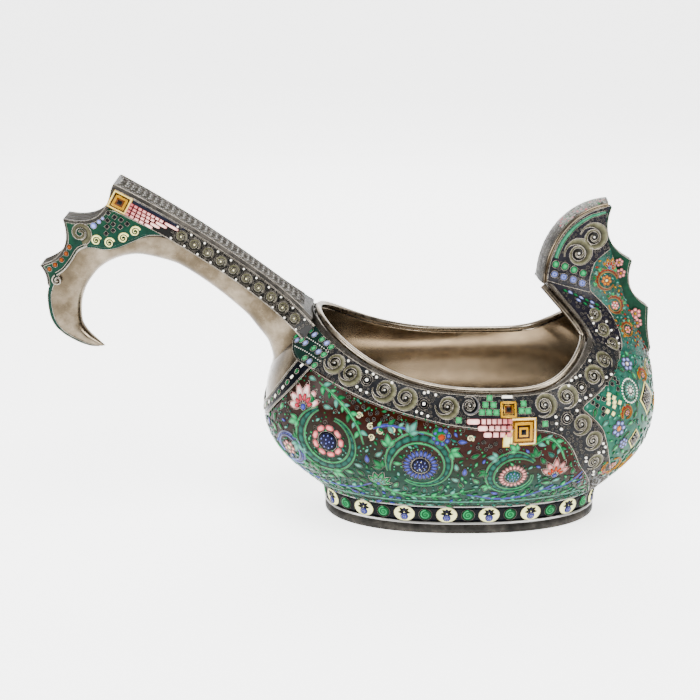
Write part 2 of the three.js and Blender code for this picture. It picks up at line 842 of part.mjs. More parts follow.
function diagonalArea(u, v) {
  const end = 1 - panelGapShare;
  const lowTurn = mix(end, diagonalLowTurnShare, u);
  const highTurn = mix(end, diagonalHighTurnShare, u);
  const low = readTable(diagonalLowShares, 1 - u) + panelGapShare;
  const high = readTable(diagonalHighShares, 1 - u);
  return [turnToU(mix(lowTurn, highTurn, v)), mix(low, high, v)];
}

const collarColumns = 11;
const collarRows = 1;
const sideColumns = 18;
const sideRows = 4;
const frontColumns = 3;
const frontRows = 7;
const diagonalColumns = 5;
const shoulderColumns = 3;
const leafColumns = 1;
const leafRows = 5;

const outlineReach = 2 * sheetThickness;
const wholeSkin = toManifold(
  skinBody(hullSurface, (u, v) => [u, v], bowlColumns, bowlRows, enamelSeat, enamelOut));

function areaBlock(area, columns, rows) {
  return toManifold(skinBody(hullSurface, area, columns, rows, -outlineReach, outlineReach));
}

function addSkin(name, blocks, finish) {
  const outline = wasm.Manifold.union(blocks);
  addPair(name, largestBody(wholeSkin.intersect(outline)), finish);
}

addSkin('collar_enamel', [
  areaBlock(collarArea, collarColumns, collarRows),
  areaBlock(shoulderArea, shoulderColumns, 1),
  areaBlock(leafArea, leafColumns, leafRows),
], slateEnamel);
addSkin('side_enamel', [areaBlock(sideArea, sideColumns, sideRows)], greenEnamel);
addSkin('front_enamel', [areaBlock(frontArea, frontColumns, frontRows)], tealEnamel);
addSkin('diagonal_band', [areaBlock(diagonalArea, diagonalColumns, 1)], nightEnamel);

// Handle

const rootPoint = vec(handleRootX, 0, handleRootZ);
const endPoint = vec(handleEndX, 0, hookHeight);

function handleFrame(run) {
  const chord = endPoint.clone().sub(rootPoint);
  const up = vec(chord.z, 0, -chord.x).normalize();
  const point = mixPoint(rootPoint, endPoint, run);
  point.addScaledVector(up, handleBow * 4 * run * (1 - run));
  const along = chord.addScaledVector(up, handleBow * 4 * (1 - 2 * run)).normalize();
  return { point, up: vec(along.z, 0, -along.x) };
}

const rootRunShare = 0.3;
const rootFlareShare = 2.5;

function plateHalf(run) {
  const root = Math.max(1 - run / rootRunShare, 0) ** rootFlareShare;
  return handleWaist + handleRootFlare * root + handleEndFlare * run * run;
}

// A bar along the handle: its corners lie between two half widths and two depths below the top line,
// and the lower corners of its far end may lean back
function handleBar(from, to, steps, low, high, depthTop, depthBottom, endLean = 0) {
  const rings = [];
  for (let i = 0; i <= steps; i += 1) {
    const run = mix(from, to, i / steps);
    const place = (half, depth) => {
      const lean = i === steps && depth === depthBottom ? endLean : 0;
      const { point, up } = handleFrame(run - lean);
      const at = point.addScaledVector(up, -depth);
      return vec(at.x, half, at.z);
    };
    rings.push([
      place(high(run), depthTop), place(high(run), depthBottom),
      place(low(run), depthBottom), place(low(run), depthTop),
    ]);
  }
  return ringBody(rings, false);
}

const plateStartShare = 0.035;
const bandStartShare = 0.03;
const bandEndShare = 0.985;
const bandEndLeanShare = 0.035;
const bandTop = plateThickness + seatGap;
const bandBottom = bandTop + bandHeight;
const plateSteps = 20;
const bandSteps = 18;
const plate = handleBar(
  plateStartShare, 1, plateSteps, (run) => -plateHalf(run), plateHalf, 0, plateThickness);
add('handle_top_plate', cutBy(plate, hullSlot, beadSlot), darkSilver);
const band = handleBar(
  bandStartShare, bandEndShare, bandSteps, (run) => plateHalf(run) - bandThickness, plateHalf,
  bandTop, bandBottom, bandEndLeanShare);
addPair('handle_side_band', cutBy(band, hullSlot, beadSlot), slateEnamel);

// A half oval between a top line and a floor point, open at the top when a wall is given
const archSteps = 8;

function archPoints(top, floor, half) {
  const points = [];
  for (let k = 0; k <= archSteps; k += 1) {
    const angle = Math.PI * (k / archSteps - 1 / 2);
    const depth = Math.max(Math.cos(angle), 0) ** (2 / channelRoundShare);
    const width = Math.sign(angle) * Math.abs(Math.sin(angle)) ** (2 / channelRoundShare);
    const at = mixPoint(top, floor, depth);
    points.push(vec(at.x, half * width, at.z));
  }
  return points;
}

function openArch(top, floor, half) {
  const lift = top.clone().sub(floor);
  const raised = floor.clone().addScaledVector(lift.normalize(), sheetThickness);
  const outer = archPoints(top, floor, half);
  const inner = archPoints(top, raised, half - sheetThickness);
  return [...outer, ...inner.reverse()];
}

function channelStation(run) {
  const { point, up } = handleFrame(run);
  const top = point.clone().addScaledVector(up, -(bandBottom + seatGap));
  const depth = channelDepth * readTable(channelDepthShares, run);
  const floor = point.clone().addScaledVector(up, -depth);
  return { top, floor, half: plateHalf(run) * readTable(channelWidthShares, run) };
}

function hornStation(i) {
  const [floorX, floorZ, topX, topZ, halfShare] = hornShares[i];
  return {
    floor: vec(floorX * hookReach, 0, floorZ * hookHeight),
    top: vec(topX * hookReach, 0, topZ * hookHeight),
    half: halfShare * hookHalfWidth,
  };
}

const channelRings = [];
for (let i = 0; i <= channelSteps; i += 1) {
  const share = (i / channelSteps) ** channelCrowdShare;
  const { top, floor, half } = channelStation(mix(channelStartShare, channelEndShare, share));
  channelRings.push(openArch(top, floor, half));
}
const channelEnd = channelStation(channelEndShare);
const hornFirst = hornStation(0);
channelRings.push(openArch(
  mixPoint(channelEnd.top, hornFirst.top, channelJoinShare),
  mixPoint(channelEnd.floor, hornFirst.floor, channelJoinShare),
  mix(channelEnd.half, hornFirst.half, channelJoinShare),
));
add('handle_channel', cutBy(ringBody(channelRings, false), hullSlot, beadSlot), silver);

function hornAt(place) {
  const low = Math.min(Math.floor(place), hornShares.length - 2);
  const a = hornStation(low);
  const b = hornStation(low + 1);
  const t = place - low;
  return {
    floor: mixPoint(a.floor, b.floor, t),
    top: mixPoint(a.top, b.top, t),
    half: mix(a.half, b.half, t),
  };
}

const hornRings = [];
for (let i = 0; i <= hornHollowCount; i += 1) {
  const { top, floor, half } = hornStation(i);
  hornRings.push(openArch(top, floor, half));
}
add('hook_horn', ringBody(hornRings, false), silver);

const tipRings = [];
for (let place = hornHollowCount + stationGapShare; place < hornShares.length; place += 1) {
  const { top, floor, half } = hornAt(Math.min(Math.floor(place) + stationGapShare, hornShares.length - 1));
  tipRings.push(archPoints(top, floor, half));
}
add('hook_tip', ringBody(tipRings, false), silver);

// The crest line of the hook: along the underside of the plate, round its end and over both cusps
const crestCusps = crestCuspShares.map(([x, z]) => vec(x * hookReach, 0, z * hookHeight));

function underPlate(run) {
  const { point, up } = handleFrame(run);
  return point.addScaledVector(up, -bandTop);
}

const crestLine = [underPlate(1), ...crestCusps];

// Crest places: where each stretch of the crest starts along the horn's stations
const crestPlaceShares = [1.6, 5.4, 7.6, 8.8];
const crestSteps = [7, 6, 2];
const plateEndTurnShare = 0.5;

// Stations of the crest line with the direction across the strip, from the plate's end to its foot
function crestStations() {
  const rootward = rootPoint.clone().sub(endPoint).normalize();
  const bites = crestBiteShares.map((bite) => -bite);
  const list = [];
  crestSteps.forEach((steps, span) => {
    for (let i = span === 0 ? 0 : 1; i <= steps; i += 1) {
      const t = i / steps;
      const crest = arcChain(crestLine, bites, (span + t) / crestSteps.length);
      const place = mix(crestPlaceShares[span], crestPlaceShares[span + 1], t);
      const inward = hornAt(place).top.sub(crest).normalize();
      if (span === 0) inward.lerp(rootward, Math.max(1 - t / plateEndTurnShare, 0)).normalize();
      list.push({ place, crest, inward });
    }
  });
  return list;
}

// The hook is as wide as the plate, then narrows towards its second cusp
function hookHalf(x) {
  const run = (x - handleRootX) / (handleEndX - handleRootX);
  const t = (x - handleEndX) / (-hookReach - handleEndX);
  return run < 1 ? plateHalf(run) : mix(plateHalf(1), hookCuspHalf, t);
}

// The cheeks stand under the side band first, and farther on under the crest
const cheekFirstRunShare = 0.8;
const cheekBandSteps = 5;
const cheekSkipCount = 3;

function cheekStations() {
  const list = [];
  for (let i = 0; i <= cheekBandSteps; i += 1) {
    const t = i / cheekBandSteps;
    const { point, up } = handleFrame(mix(cheekFirstRunShare, bandEndShare - bandEndLeanShare, t));
    const head = point.addScaledVector(up, -(bandBottom + seatGap));
    list.push({ place: mix(0, crestPlaceShares[0], t), head });
  }
  crestStations().slice(cheekSkipCount).forEach(({ place, crest, inward }) => {
    list.push({ place, head: crest.addScaledVector(inward, crestThickness + seatGap) });
  });
  return list;
}

const cheekRings = cheekStations().map(({ place, head }) => {
  const { top } = hornAt(place);
  const foot = top.clone().addScaledVector(head.clone().sub(top).normalize(), enamelSeat);
  return [
    vec(foot.x, hookHalf(foot.x), foot.z), vec(head.x, hookHalf(head.x), head.z),
    vec(head.x, hookHalf(head.x) - cheekThickness, head.z),
    vec(foot.x, hookHalf(foot.x) - cheekThickness, foot.z),
  ];
});
addPair('hook_cheek', ringBody(cheekRings, false), greenEnamel);

const crestRings = crestStations().map(({ crest, inward }) => {
  const foot = crest.clone().addScaledVector(inward, crestThickness);
  return [
    vec(foot.x, hookHalf(foot.x), foot.z), vec(crest.x, hookHalf(crest.x), crest.z),
    vec(crest.x, -hookHalf(crest.x), crest.z), vec(foot.x, -hookHalf(foot.x), foot.z),
  ];
});
add('hook_crest', ringBody(crestRings, false), silver);

// The strip that closes the back of the horn below the crest
const backRings = [];
for (let i = hornStripCount; i <= hornHollowCount; i += 1) {
  const { top, floor, half } = hornStation(i);
  const out = top.clone().sub(floor).normalize();
  const low = top.clone().addScaledVector(out, seatGap);
  const high = top.clone().addScaledVector(out, seatGap + crestThickness);
  backRings.push([
    vec(low.x, half, low.z), vec(high.x, half, high.z),
    vec(high.x, -half, high.z), vec(low.x, -half, low.z),
  ]);
}
add('horn_back_strip', ringBody(backRings, false), greenEnamel);

// The foot of the part's frame is midway between the hook's cusp and the front of the belly
kovsh.add(...parts);
const extent = new THREE.Box3().setFromObject(kovsh);
kovsh.position.x = -(extent.min.x + extent.max.x) / 2;

export default kovsh;
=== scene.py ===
import math
import random

import bmesh
import bpy
import numpy as np
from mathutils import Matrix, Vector


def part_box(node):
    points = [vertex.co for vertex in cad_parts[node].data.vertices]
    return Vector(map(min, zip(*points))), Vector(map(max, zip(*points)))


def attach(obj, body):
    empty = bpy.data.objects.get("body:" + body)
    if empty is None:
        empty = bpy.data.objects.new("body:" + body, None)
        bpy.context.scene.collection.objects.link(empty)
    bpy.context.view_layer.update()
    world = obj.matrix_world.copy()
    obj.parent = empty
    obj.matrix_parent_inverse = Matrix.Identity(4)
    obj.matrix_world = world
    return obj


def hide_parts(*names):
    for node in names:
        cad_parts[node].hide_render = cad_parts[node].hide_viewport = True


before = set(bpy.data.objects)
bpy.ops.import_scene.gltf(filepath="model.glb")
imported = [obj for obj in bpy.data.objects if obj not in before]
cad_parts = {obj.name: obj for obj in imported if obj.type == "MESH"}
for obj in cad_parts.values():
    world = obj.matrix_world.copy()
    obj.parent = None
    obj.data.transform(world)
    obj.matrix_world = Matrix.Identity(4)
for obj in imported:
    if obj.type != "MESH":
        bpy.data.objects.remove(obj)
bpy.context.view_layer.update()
random.seed(7)

SIDES = (("left", 1), ("right", -1))
MM = 0.001
FOOT_LOW, FOOT_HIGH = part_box("foot_base_moulding")
SHIFT = (FOOT_LOW.x + FOOT_HIGH.x) / 2 / MM

# Driving sizes, in millimetres
SHEET = 1.5
ENAMEL_LIFT = 1.0
ENAMEL_DEPTH = 0.7
BEAD_RADIUS = 1.5
SEAT = 0.3

FOOT_HALF_LENGTH = 68.8
FOOT_HALF_WIDTH = 38.6
FOOT_OVAL = 2.3
FOOT_HEIGHT = 16
FOOT_FLARE = 1.4

BELLY_FRONT = 95.2
BELLY_BACK = 98.4
BELLY_HALF_WIDTH = 57.4
BELLY_HEIGHT = 57
BELLY_OVAL = 2.2
BELLY_RISE = 0.5

RIM_CENTRE = 12
RIM_FRONT = 48.5
RIM_BACK = 85.5
RIM_HALF_WIDTH = 51.2
RIM_LOW = 77.3
RIM_FRONT_RISE = 22.2
RIM_BACK_RISE = 27.2
RIM_FRONT_OVAL = 2.8
RIM_BACK_OVAL = 2.1
RIM_RISE_POWER = 2.55
RIM_DRAW = 0.8

PROW_LOW = 81
PROW_TOP = 157
PROW_REACH = 94
CROWN_BACK = 39
CROWN_LOW = 120.8
CROWN_TIP = 68.5
BLADE_HALF = 2.4
KEEL_HALF = 4.2
HEAD_SPREAD = 5
SPREAD_RUN = 30
NECK_FADE_HEIGHT = 125
NECK_BLUNT_HEIGHT = 113
KEEL_OPEN_HEIGHT = 87

HANDLE_ROOT = (-74.5, 104.6)
HANDLE_END = (-168.5, 169.3)
HANDLE_BOW = 3.2
HANDLE_WAIST = 7.8
HANDLE_ROOT_FLARE = 8.5
HANDLE_END_FLARE = 4.2
PLATE = 1.5
BAND_TOP = 1.8
BAND_BOTTOM = 10.8
CHANNEL_DEPTH = 21
HOOK_REACH = 206.6
HOOK_HEIGHT = 169.3
HOOK_HALF = 9.4
HOOK_CUSP_HALF = 6.6
CREST = 1.3

# Shares of the turn round the bowl, of the rise up its wall and of the prow's height
SHOULDER_TURN = 1 / 6
RIM_START_TURN = 1 / 9
BLEND_TURN = 0.12
NECK_END = 0.4
NECK_BLUNT = 0.45
NECK_FADE = 1.4

# The rib of the bowl's wall: how far its curves lean, climb and hang before they turn
LOWER_LEAN, LOWER_LIFT, LOWER_HANG = 0.62, 0.36, 0.45
UPPER_LIFT, UPPER_LEAN, UPPER_DROP = 0.45, 0.6, 0.27
TANGENT_STEP = 0.15

# The prow's front line, the channel's depth and width, the horn's stations, and the cusps
KEEL_ROWS = [(0, .982), (.2, .902), (.42, .83), (.62, .777), (.82, .727), (.93, .72), (1, .737)]
CHANNEL_DEPTHS = [
    (-.12, 2.35), (-.038, 1.76), (-.013, 1.53), (.039, 1.33), (.065, 1.26), (.137, 1.17), (.21, 1.08),
    (.42, 1), (.6, 1)]
CHANNEL_WIDTHS = [
    (-.12, .62), (0, .7), (.03, .79), (.09, .9), (.21, .95), (.42, .95), (.6, .93)]
HORN_ROWS = [
    (-.726, .7714, -.704, .848, .957), (-.76, .784, -.7406, .8494, .99),
    (-.789, .783, -.7744, .833, 1), (-.8166, .775, -.808, .816, .98),
    (-.842, .761, -.842, .8086, .936), (-.8664, .74, -.876, .813, .872),
    (-.8858, .712, -.905, .803, .81), (-.9, .684, -.929, .764, .766),
    (-.91, .65, -.958, .725, .713), (-.914, .614, -.978, .673, .66),
    (-.913, .582, -.977, .614, .617), (-.906, .561, -.967, .5765, .553),
    (-.8945, .542, -.948, .549, .468), (-.881, .5257, -.9187, .525, .35),
    (-.869, .5115, -.89, .509, .21), (-.8626, .504, -.864, .5035, .07)]
CREST_CUSPS = [(-.9385, .8955), (-1, .757), (-.985, .7)]
CREST_BITES = [.27, .245, .1]
BLADE_CUSPS = [(.751, .99), (.871, .637), (.971, .326), (.995, .05), (.982, 0)]
BLADE_BITES = [.22, .2, .04, 0]
HORN_HOLLOW, HORN_END = 12, 15
STRIP_PLACES = (8.8, 14.9)
BLADE_SEAT = 3


def mix(a, b, t):
    return a + (b - a) * t


def point(x, y, z):
    return np.stack(np.broadcast_arrays(*(np.asarray(c, float) for c in (x, y, z))), axis=-1)


def unit(v):
    return v / np.maximum(np.linalg.norm(v, axis=-1, keepdims=True), 1e-9)


# A smooth value read from rows of (place, value)
def read_table(rows, place, column=1):
    xs = np.array([row[0] for row in rows], float)
    ys = np.array([row[column] for row in rows], float)
    slopes = np.empty_like(ys)
    slopes[1:-1] = (ys[2:] - ys[:-2]) / (xs[2:] - xs[:-2])
    slopes[0] = (ys[1] - ys[0]) / (xs[1] - xs[0])
    slopes[-1] = (ys[-1] - ys[-2]) / (xs[-1] - xs[-2])
    at = np.clip(place, xs[0], xs[-1])
    i = np.clip(np.searchsorted(xs, at, side="right") - 1, 0, len(xs) - 2)
    run = xs[i + 1] - xs[i]
    t = (at - xs[i]) / run
    keep = ys[i] * (2 * t**3 - 3 * t**2 + 1) + ys[i + 1] * (3 * t**2 - 2 * t**3)
    return keep + run * (slopes[i] * (t**3 - 2 * t**2 + t) + slopes[i + 1] * (t**3 - t**2))


# A point on an oval whose corners are fuller than an ellipse's when the share is above 2
def oval(half_x, half_y, share, angle, z):
    c = np.cos(angle)
    s = np.maximum(np.sin(angle), 0)
    return point(np.sign(c) * half_x * np.abs(c) ** (2 / share), half_y * s ** (2 / share), z)


def bezier(a, b, c, d, t):
    t = np.asarray(t, float)[..., None]
    s = 1 - t
    return s**3 * a + 3 * s**2 * t * b + 3 * s * t**2 * c + t**3 * d


# The prow: its front line, and its half width at a place seen from the side
def keel_x(z):
    return PROW_REACH * read_table(KEEL_ROWS, (z - PROW_LOW) / (PROW_TOP - PROW_LOW))


def climb_share(z, top):
    return np.clip((z - PROW_LOW) / (top - PROW_LOW), 0, 1)


def neck_fade(z):
    return (1 - climb_share(z, NECK_FADE_HEIGHT)) ** NECK_FADE


def keel_opening(z):
    t = climb_share(z, KEEL_OPEN_HEIGHT)
    return KEEL_HALF * t * (2 - t)


def spread_at(x, z):
    power = 1 - NECK_BLUNT * (1 - climb_share(z, NECK_BLUNT_HEIGHT))
    return (np.maximum(keel_x(z) - x, 0) / SPREAD_RUN) ** power


def rim(angle):
    front = np.cos(angle) > 0
    half = np.where(front, RIM_FRONT, RIM_BACK)
    share = np.where(front, RIM_FRONT_OVAL, RIM_BACK_OVAL)
    rise = np.where(front, RIM_FRONT_RISE, RIM_BACK_RISE)
    flat = oval(half, RIM_HALF_WIDTH, share, angle, 0)
    climb = np.abs(np.cos(angle)) ** RIM_RISE_POWER
    return point(RIM_CENTRE + flat[..., 0], flat[..., 1], RIM_LOW + rise * climb)


LIP_CORNER = rim(math.pi * RIM_START_TURN)
NECK_SPREAD = ((LIP_CORNER[1] - keel_opening(LIP_CORNER[2])) / spread_at(LIP_CORNER[0], LIP_CORNER[2])
               - HEAD_SPREAD) / neck_fade(LIP_CORNER[2])


def prow_half(x, z):
    return keel_opening(z) + (HEAD_SPREAD + NECK_SPREAD * neck_fade(z)) * spread_at(x, z)


def rib_top(turn):
    along = np.clip((turn - SHOULDER_TURN) / (1 - SHOULDER_TURN), 0, 1)
    on_rim = rim(math.pi * mix(RIM_START_TURN, 1, along**RIM_DRAW))
    forward = np.clip(1 - turn / SHOULDER_TURN, 0, 1)
    x = mix(LIP_CORNER[0], keel_x(PROW_LOW), forward)
    z = mix(LIP_CORNER[2], PROW_LOW, forward)
    return np.where((turn >= SHOULDER_TURN)[..., None], on_rim, point(x, prow_half(x, z), z))


# One point of the bowl's skin on its left half: turn 0 at the prow and 1 at the handle, rise 0 to 1
def hull(turn, rise):
    turn, rise = np.broadcast_arrays(np.asarray(turn, float), np.asarray(rise, float))
    angle = math.pi * turn
    foot = oval(FOOT_HALF_LENGTH + FOOT_FLARE, FOOT_HALF_WIDTH + FOOT_FLARE, FOOT_OVAL, angle, FOOT_HEIGHT)
    belly_half = np.where(turn < 0.5, BELLY_FRONT, BELLY_BACK)
    belly = oval(belly_half, BELLY_HALF_WIDTH, BELLY_OVAL, angle, BELLY_HEIGHT)
    top = rib_top(turn)
    climb = BELLY_HEIGHT - FOOT_HEIGHT
    leave = mix(foot, belly, LOWER_LEAN)
    leave[..., 2] = FOOT_HEIGHT + climb * LOWER_LIFT
    arrive = belly.copy()
    arrive[..., 2] -= climb * LOWER_HANG
    lower = bezier(foot, leave, arrive, belly, np.clip(rise / BELLY_RISE, 0, 1))
    climb = top[..., 2] - BELLY_HEIGHT
    leave = belly.copy()
    leave[..., 2] += climb * UPPER_LIFT
    arrive = mix(top, belly, UPPER_LEAN)
    arrive[..., 2] = top[..., 2] - climb * UPPER_DROP
    near = mix(top, arrive, TANGENT_STEP)
    level = np.maximum(near[..., 2], PROW_LOW)
    slope = (prow_half(near[..., 0], level) - prow_half(top[..., 0], top[..., 2])) / TANGENT_STEP
    blend = np.clip((turn - SHOULDER_TURN) / BLEND_TURN, 0, 1)
    arrive[..., 1] = mix(top[..., 1] + slope, arrive[..., 1], blend)
    upper = bezier(belly, leave, arrive, top, np.clip((rise - BELLY_RISE) / (1 - BELLY_RISE), 0, 1))
    return np.where((rise <= BELLY_RISE)[..., None], lower, upper)


def plane_bezier(a, d, shares, t):
    wide, tall = d[0] - a[0], d[2] - a[2]
    b = np.array([a[0] + wide * shares[0], 0, a[2] + tall * shares[1]])
    c = np.array([a[0] + wide * shares[2], 0, a[2] + tall * shares[3]])
    return bezier(a, b, c, d, t)


# The prow's back edge seen from the side: up the neck, then round the crown
def prow_back(rise):
    rise = np.asarray(rise, float)
    start = np.array([LIP_CORNER[0], 0, LIP_CORNER[2]])
    corner = np.array([CROWN_BACK, 0, CROWN_LOW])
    tip = np.array([CROWN_TIP, 0, PROW_TOP])
    neck = plane_bezier(start, corner, (.03, .2, .53, .58), np.clip(rise / NECK_END, 0, 1))
    above = np.clip((rise - NECK_END) / (1 - NECK_END), 0, 1)
    crown = plane_bezier(corner, tip, (.02, .5, .4, .95), above)
    return np.where((rise < NECK_END)[..., None], neck, crown)


# One point of the prow's left cheek: forward 0 at the back edge, 1 at the blade
def cheek(forward, rise):
    forward, rise = np.broadcast_arrays(np.asarray(forward, float), np.asarray(rise, float))
    z = mix(PROW_LOW, PROW_TOP, rise)
    flat = mix(prow_back(rise), point(keel_x(z), 0, z), forward[..., None])
    flat[..., 1] = prow_half(flat[..., 0], flat[..., 2])
    return flat


# The handle's top line, with the direction square to it
def handle_frame(run):
    run = np.asarray(run, float)
    root = np.array([HANDLE_ROOT[0], 0, HANDLE_ROOT[1]])
    end = np.array([HANDLE_END[0], 0, HANDLE_END[1]])
    chord = end - root
    up = unit(np.array([chord[2], 0, -chord[0]]))
    place = root + chord * run[..., None] + up * (HANDLE_BOW * 4 * run * (1 - run))[..., None]
    along = unit(chord + up * (HANDLE_BOW * 4 * (1 - 2 * run))[..., None])
    return place, point(along[..., 2], 0, -along[..., 0])


def plate_half(run):
    run = np.asarray(run, float)
    return (HANDLE_WAIST + HANDLE_ROOT_FLARE * np.maximum(1 - run / 0.3, 0) ** 2.5
            + HANDLE_END_FLARE * run**2)


# A point on the handle's side, from the run along it and the depth below its top line
def handle_point(run, depth):
    place, up = handle_frame(run)
    at = place - up * np.asarray(depth, float)[..., None]
    return point(at[..., 0], plate_half(run), at[..., 2])


def channel_station(top_run, run):
    place, up = handle_frame(top_run)
    top = place - up * (BAND_BOTTOM + SEAT)
    place, up = handle_frame(run)
    floor = place - up * (CHANNEL_DEPTH * read_table(CHANNEL_DEPTHS, run))[..., None]
    return top, floor, plate_half(run) * read_table(CHANNEL_WIDTHS, run)


def horn_station(place):
    rows = [(i, *row) for i, row in enumerate(HORN_ROWS)]
    floor_x, floor_z, top_x, top_z, half = (read_table(rows, place, column) for column in range(1, 6))
    floor = point(floor_x * HOOK_REACH, 0, floor_z * HOOK_HEIGHT)
    top = point(top_x * HOOK_REACH, 0, top_z * HOOK_HEIGHT)
    return top, floor, half * HOOK_HALF


def hook_half(x):
    run = (x - HANDLE_ROOT[0]) / (HANDLE_END[0] - HANDLE_ROOT[0])
    t = np.clip((x - HANDLE_END[0]) / (-HOOK_REACH - HANDLE_END[0]), 0, 1)
    return np.where(run < 1, plate_half(np.clip(run, 0, 1)), mix(plate_half(1.0), HOOK_CUSP_HALF, t))


# A chain of shallow arcs between corner points
def arc_chain(corners, bites, t):
    corners = np.asarray(corners, float)
    spans = len(corners) - 1
    span = np.minimum((np.asarray(t) * spans).astype(int), spans - 1)
    along = np.asarray(t) * spans - span
    a, b = corners[span], corners[span + 1]
    chord = b - a
    inward = point(chord[..., 2], 0, -chord[..., 0])
    bite = np.asarray(bites)[span] * 4 * along * (1 - along)
    return mix(a, b, along[..., None]) + inward * bite[..., None]


CREST_PLACES = [1.6, 5.4, 7.6, 8.8]


def crest_line(t):
    place, up = handle_frame(np.array(1.0))
    start = place - up * BAND_TOP
    corners = [start] + [(x * HOOK_REACH, 0, z * HOOK_HEIGHT) for x, z in CREST_CUSPS]
    crest = arc_chain(corners, [-bite for bite in CREST_BITES], t)
    place = np.interp(np.asarray(t) * 3, range(4), CREST_PLACES)
    inward = unit(horn_station(place)[0] - crest)
    rootward = unit(np.array([HANDLE_ROOT[0] - HANDLE_END[0], 0, HANDLE_ROOT[1] - HANDLE_END[1]]))
    turn = np.clip(1 - np.asarray(t) * 3 / 0.5, 0, 1)[..., None]
    return place, crest, unit(mix(inward, rootward, turn))


# Materials

def linear(hexes):
    values = [int(hexes[i:i + 2], 16) / 255 for i in (0, 2, 4)]
    bent = [v / 12.92 if v <= 0.04045 else ((v + 0.055) / 1.055) ** 2.4 for v in values]
    return (*bent, 1.0)


def grey(value):
    return value, value, value, 1.0


# Sets a node's sockets, each to a constant or to the socket that feeds it
def feed(tree, node, **inputs):
    for name, value in inputs.items():
        socket = node.inputs[name.replace("_", " ")]
        if isinstance(value, bpy.types.NodeSocket):
            tree.links.new(value, socket)
        else:
            socket.default_value = value
    return node


# Adds a node with its settings, a ramp's stops, and its sockets
def add_node(tree, kind, settings=None, stops=(), **inputs):
    node = tree.nodes.new("ShaderNode" + kind)
    node.location.x = -240 * len(tree.nodes)
    for name, value in (settings or {}).items():
        setattr(node, name, value)
    for i, (place, colour) in enumerate(stops):
        elements = node.color_ramp.elements
        element = elements[i] if i < 2 else elements.new(place)
        element.position, element.color = place, colour
    return feed(tree, node, **inputs)


def new_material(name):
    material = bpy.data.materials.new(name)
    material.use_nodes = True
    tree = material.node_tree
    return material, tree, tree.nodes["Principled BSDF"]


# Silver: a mottled tone in patches of a real width in millimetres, finer patches where rubbing has
# changed the gloss, and a faint unevenness from the hammer and the stoning
WEAR_FINER, MARKS_FINER = 6, 12
RELIEF = 0.0002


def silver(name, tones, rough, uneven, patch, bare=1.0, specular=0.5):
    material, tree, shader = new_material(name)
    scale = 1 / (patch * MM)
    place = add_node(tree, "TexCoord").outputs["Object"]
    mottle = add_node(tree, "TexNoise", Vector=place, Scale=scale, Detail=5, Roughness=0.6)
    stops = [(at, linear(tone)) for at, tone in zip((.3, .5, .72), tones)]
    colour = add_node(tree, "ValToRGB", stops=stops, Fac=mottle.outputs["Fac"])
    wear = add_node(tree, "TexNoise", Vector=place, Scale=scale * WEAR_FINER, Detail=4)
    stops = [(.3, grey(rough * 0.75)), (.7, grey(rough * 1.3))]
    gloss = add_node(tree, "ValToRGB", stops=stops, Fac=wear.outputs["Fac"])
    marks = add_node(tree, "TexNoise", Vector=place, Scale=scale * MARKS_FINER, Detail=3)
    bump = add_node(tree, "Bump", Strength=uneven, Distance=RELIEF, Height=marks.outputs["Fac"])
    feed(tree, shader, Metallic=bare, Specular_IOR_Level=specular, Base_Color=colour.outputs["Color"],
         Roughness=gloss.outputs["Color"], Normal=bump.outputs["Normal"])
    return material


# Enamel: fired glass that takes its shaded colour from the Tint attribute. Clouds about 3 mm wide
# give the depth of the glass, ripples about 1 mm wide the stoned surface, and the gloss is soft
CLOUD_WIDTH = 2.857
RIPPLE_WIDTH = 1.111


def enamel(name, cloud=0.45, rough=0.24):
    material, tree, shader = new_material(name)
    place = add_node(tree, "TexCoord").outputs["Object"]
    tint = add_node(tree, "Attribute", {"attribute_name": "Tint"})
    clouds = add_node(tree, "TexNoise", Vector=place, Scale=1 / (CLOUD_WIDTH * MM), Detail=4)
    stops = [(.3, grey(1 - cloud)), (.7, grey(1 + cloud * 0.3))]
    shade = add_node(tree, "ValToRGB", stops=stops, Fac=clouds.outputs["Fac"])
    blend = add_node(tree, "Mix", {"data_type": "RGBA", "blend_type": "MULTIPLY"}, Factor=1.0,
                     A=tint.outputs["Color"], B=shade.outputs["Color"])
    ripples = add_node(tree, "TexNoise", Vector=place, Scale=1 / (RIPPLE_WIDTH * MM), Detail=2)
    bump = add_node(tree, "Bump", Strength=0.25, Distance=RELIEF, Height=ripples.outputs["Fac"])
    feed(tree, shader, Base_Color=blend.outputs["Result"], Roughness=rough, Specular_IOR_Level=0.07,
         Normal=bump.outputs["Normal"])
    return material


# Worn polish on the beads and cheeks: a soft warm sheen in broad patches
SILVER = silver("polished silver", ("4e463b", "6a6154", "8a8173"), 0.27, 0.08, 25)
# The handle, hook and bowl, rubbed bright by hands: darker in the hollows of the tone, more mirror
HANDLE_SILVER = silver("hand-worn silver", ("2b241b", "524839", "7d7262"), 0.23, 0.06, 18.18)
# Oxidised silver has a layer of sulphide, so it is dull and near black and reflects like a mineral
DARK_SILVER = silver("oxidised silver", ("181715", "2c2a27", "4a4640"), 0.42, 0.3, 6.667, 0.0, 0.05)
# The inside of the bowl is burnished: light, even and soft in its reflections
INSIDE_SILVER = silver("burnished inside silver", ("857a6a", "998e7e", "b0a696"), 0.2, 0.02, 55.56)
# Wires drawn through a plate: smooth, with small breaks in the tone; the dull ones are half tarnished
WIRE_SILVER = silver("drawn silver wire", ("625c54", "7d776d", "9c958a"), 0.26, 0.05, 5)
DULL_WIRE = silver("dull silver wire", ("34312c", "4b4741", "66615a"), 0.36, 0.05, 5)
GILT_WIRE = silver("gilt wire", ("6e5212", "96741e", "c09a40"), 0.26, 0.05, 5)
# The grounds are clouded glass, and the beads and petals on them are opaque and even
ENAMEL = enamel("shaded enamel")
BEAD = enamel("opaque bead enamel", 0.12, 0.22)

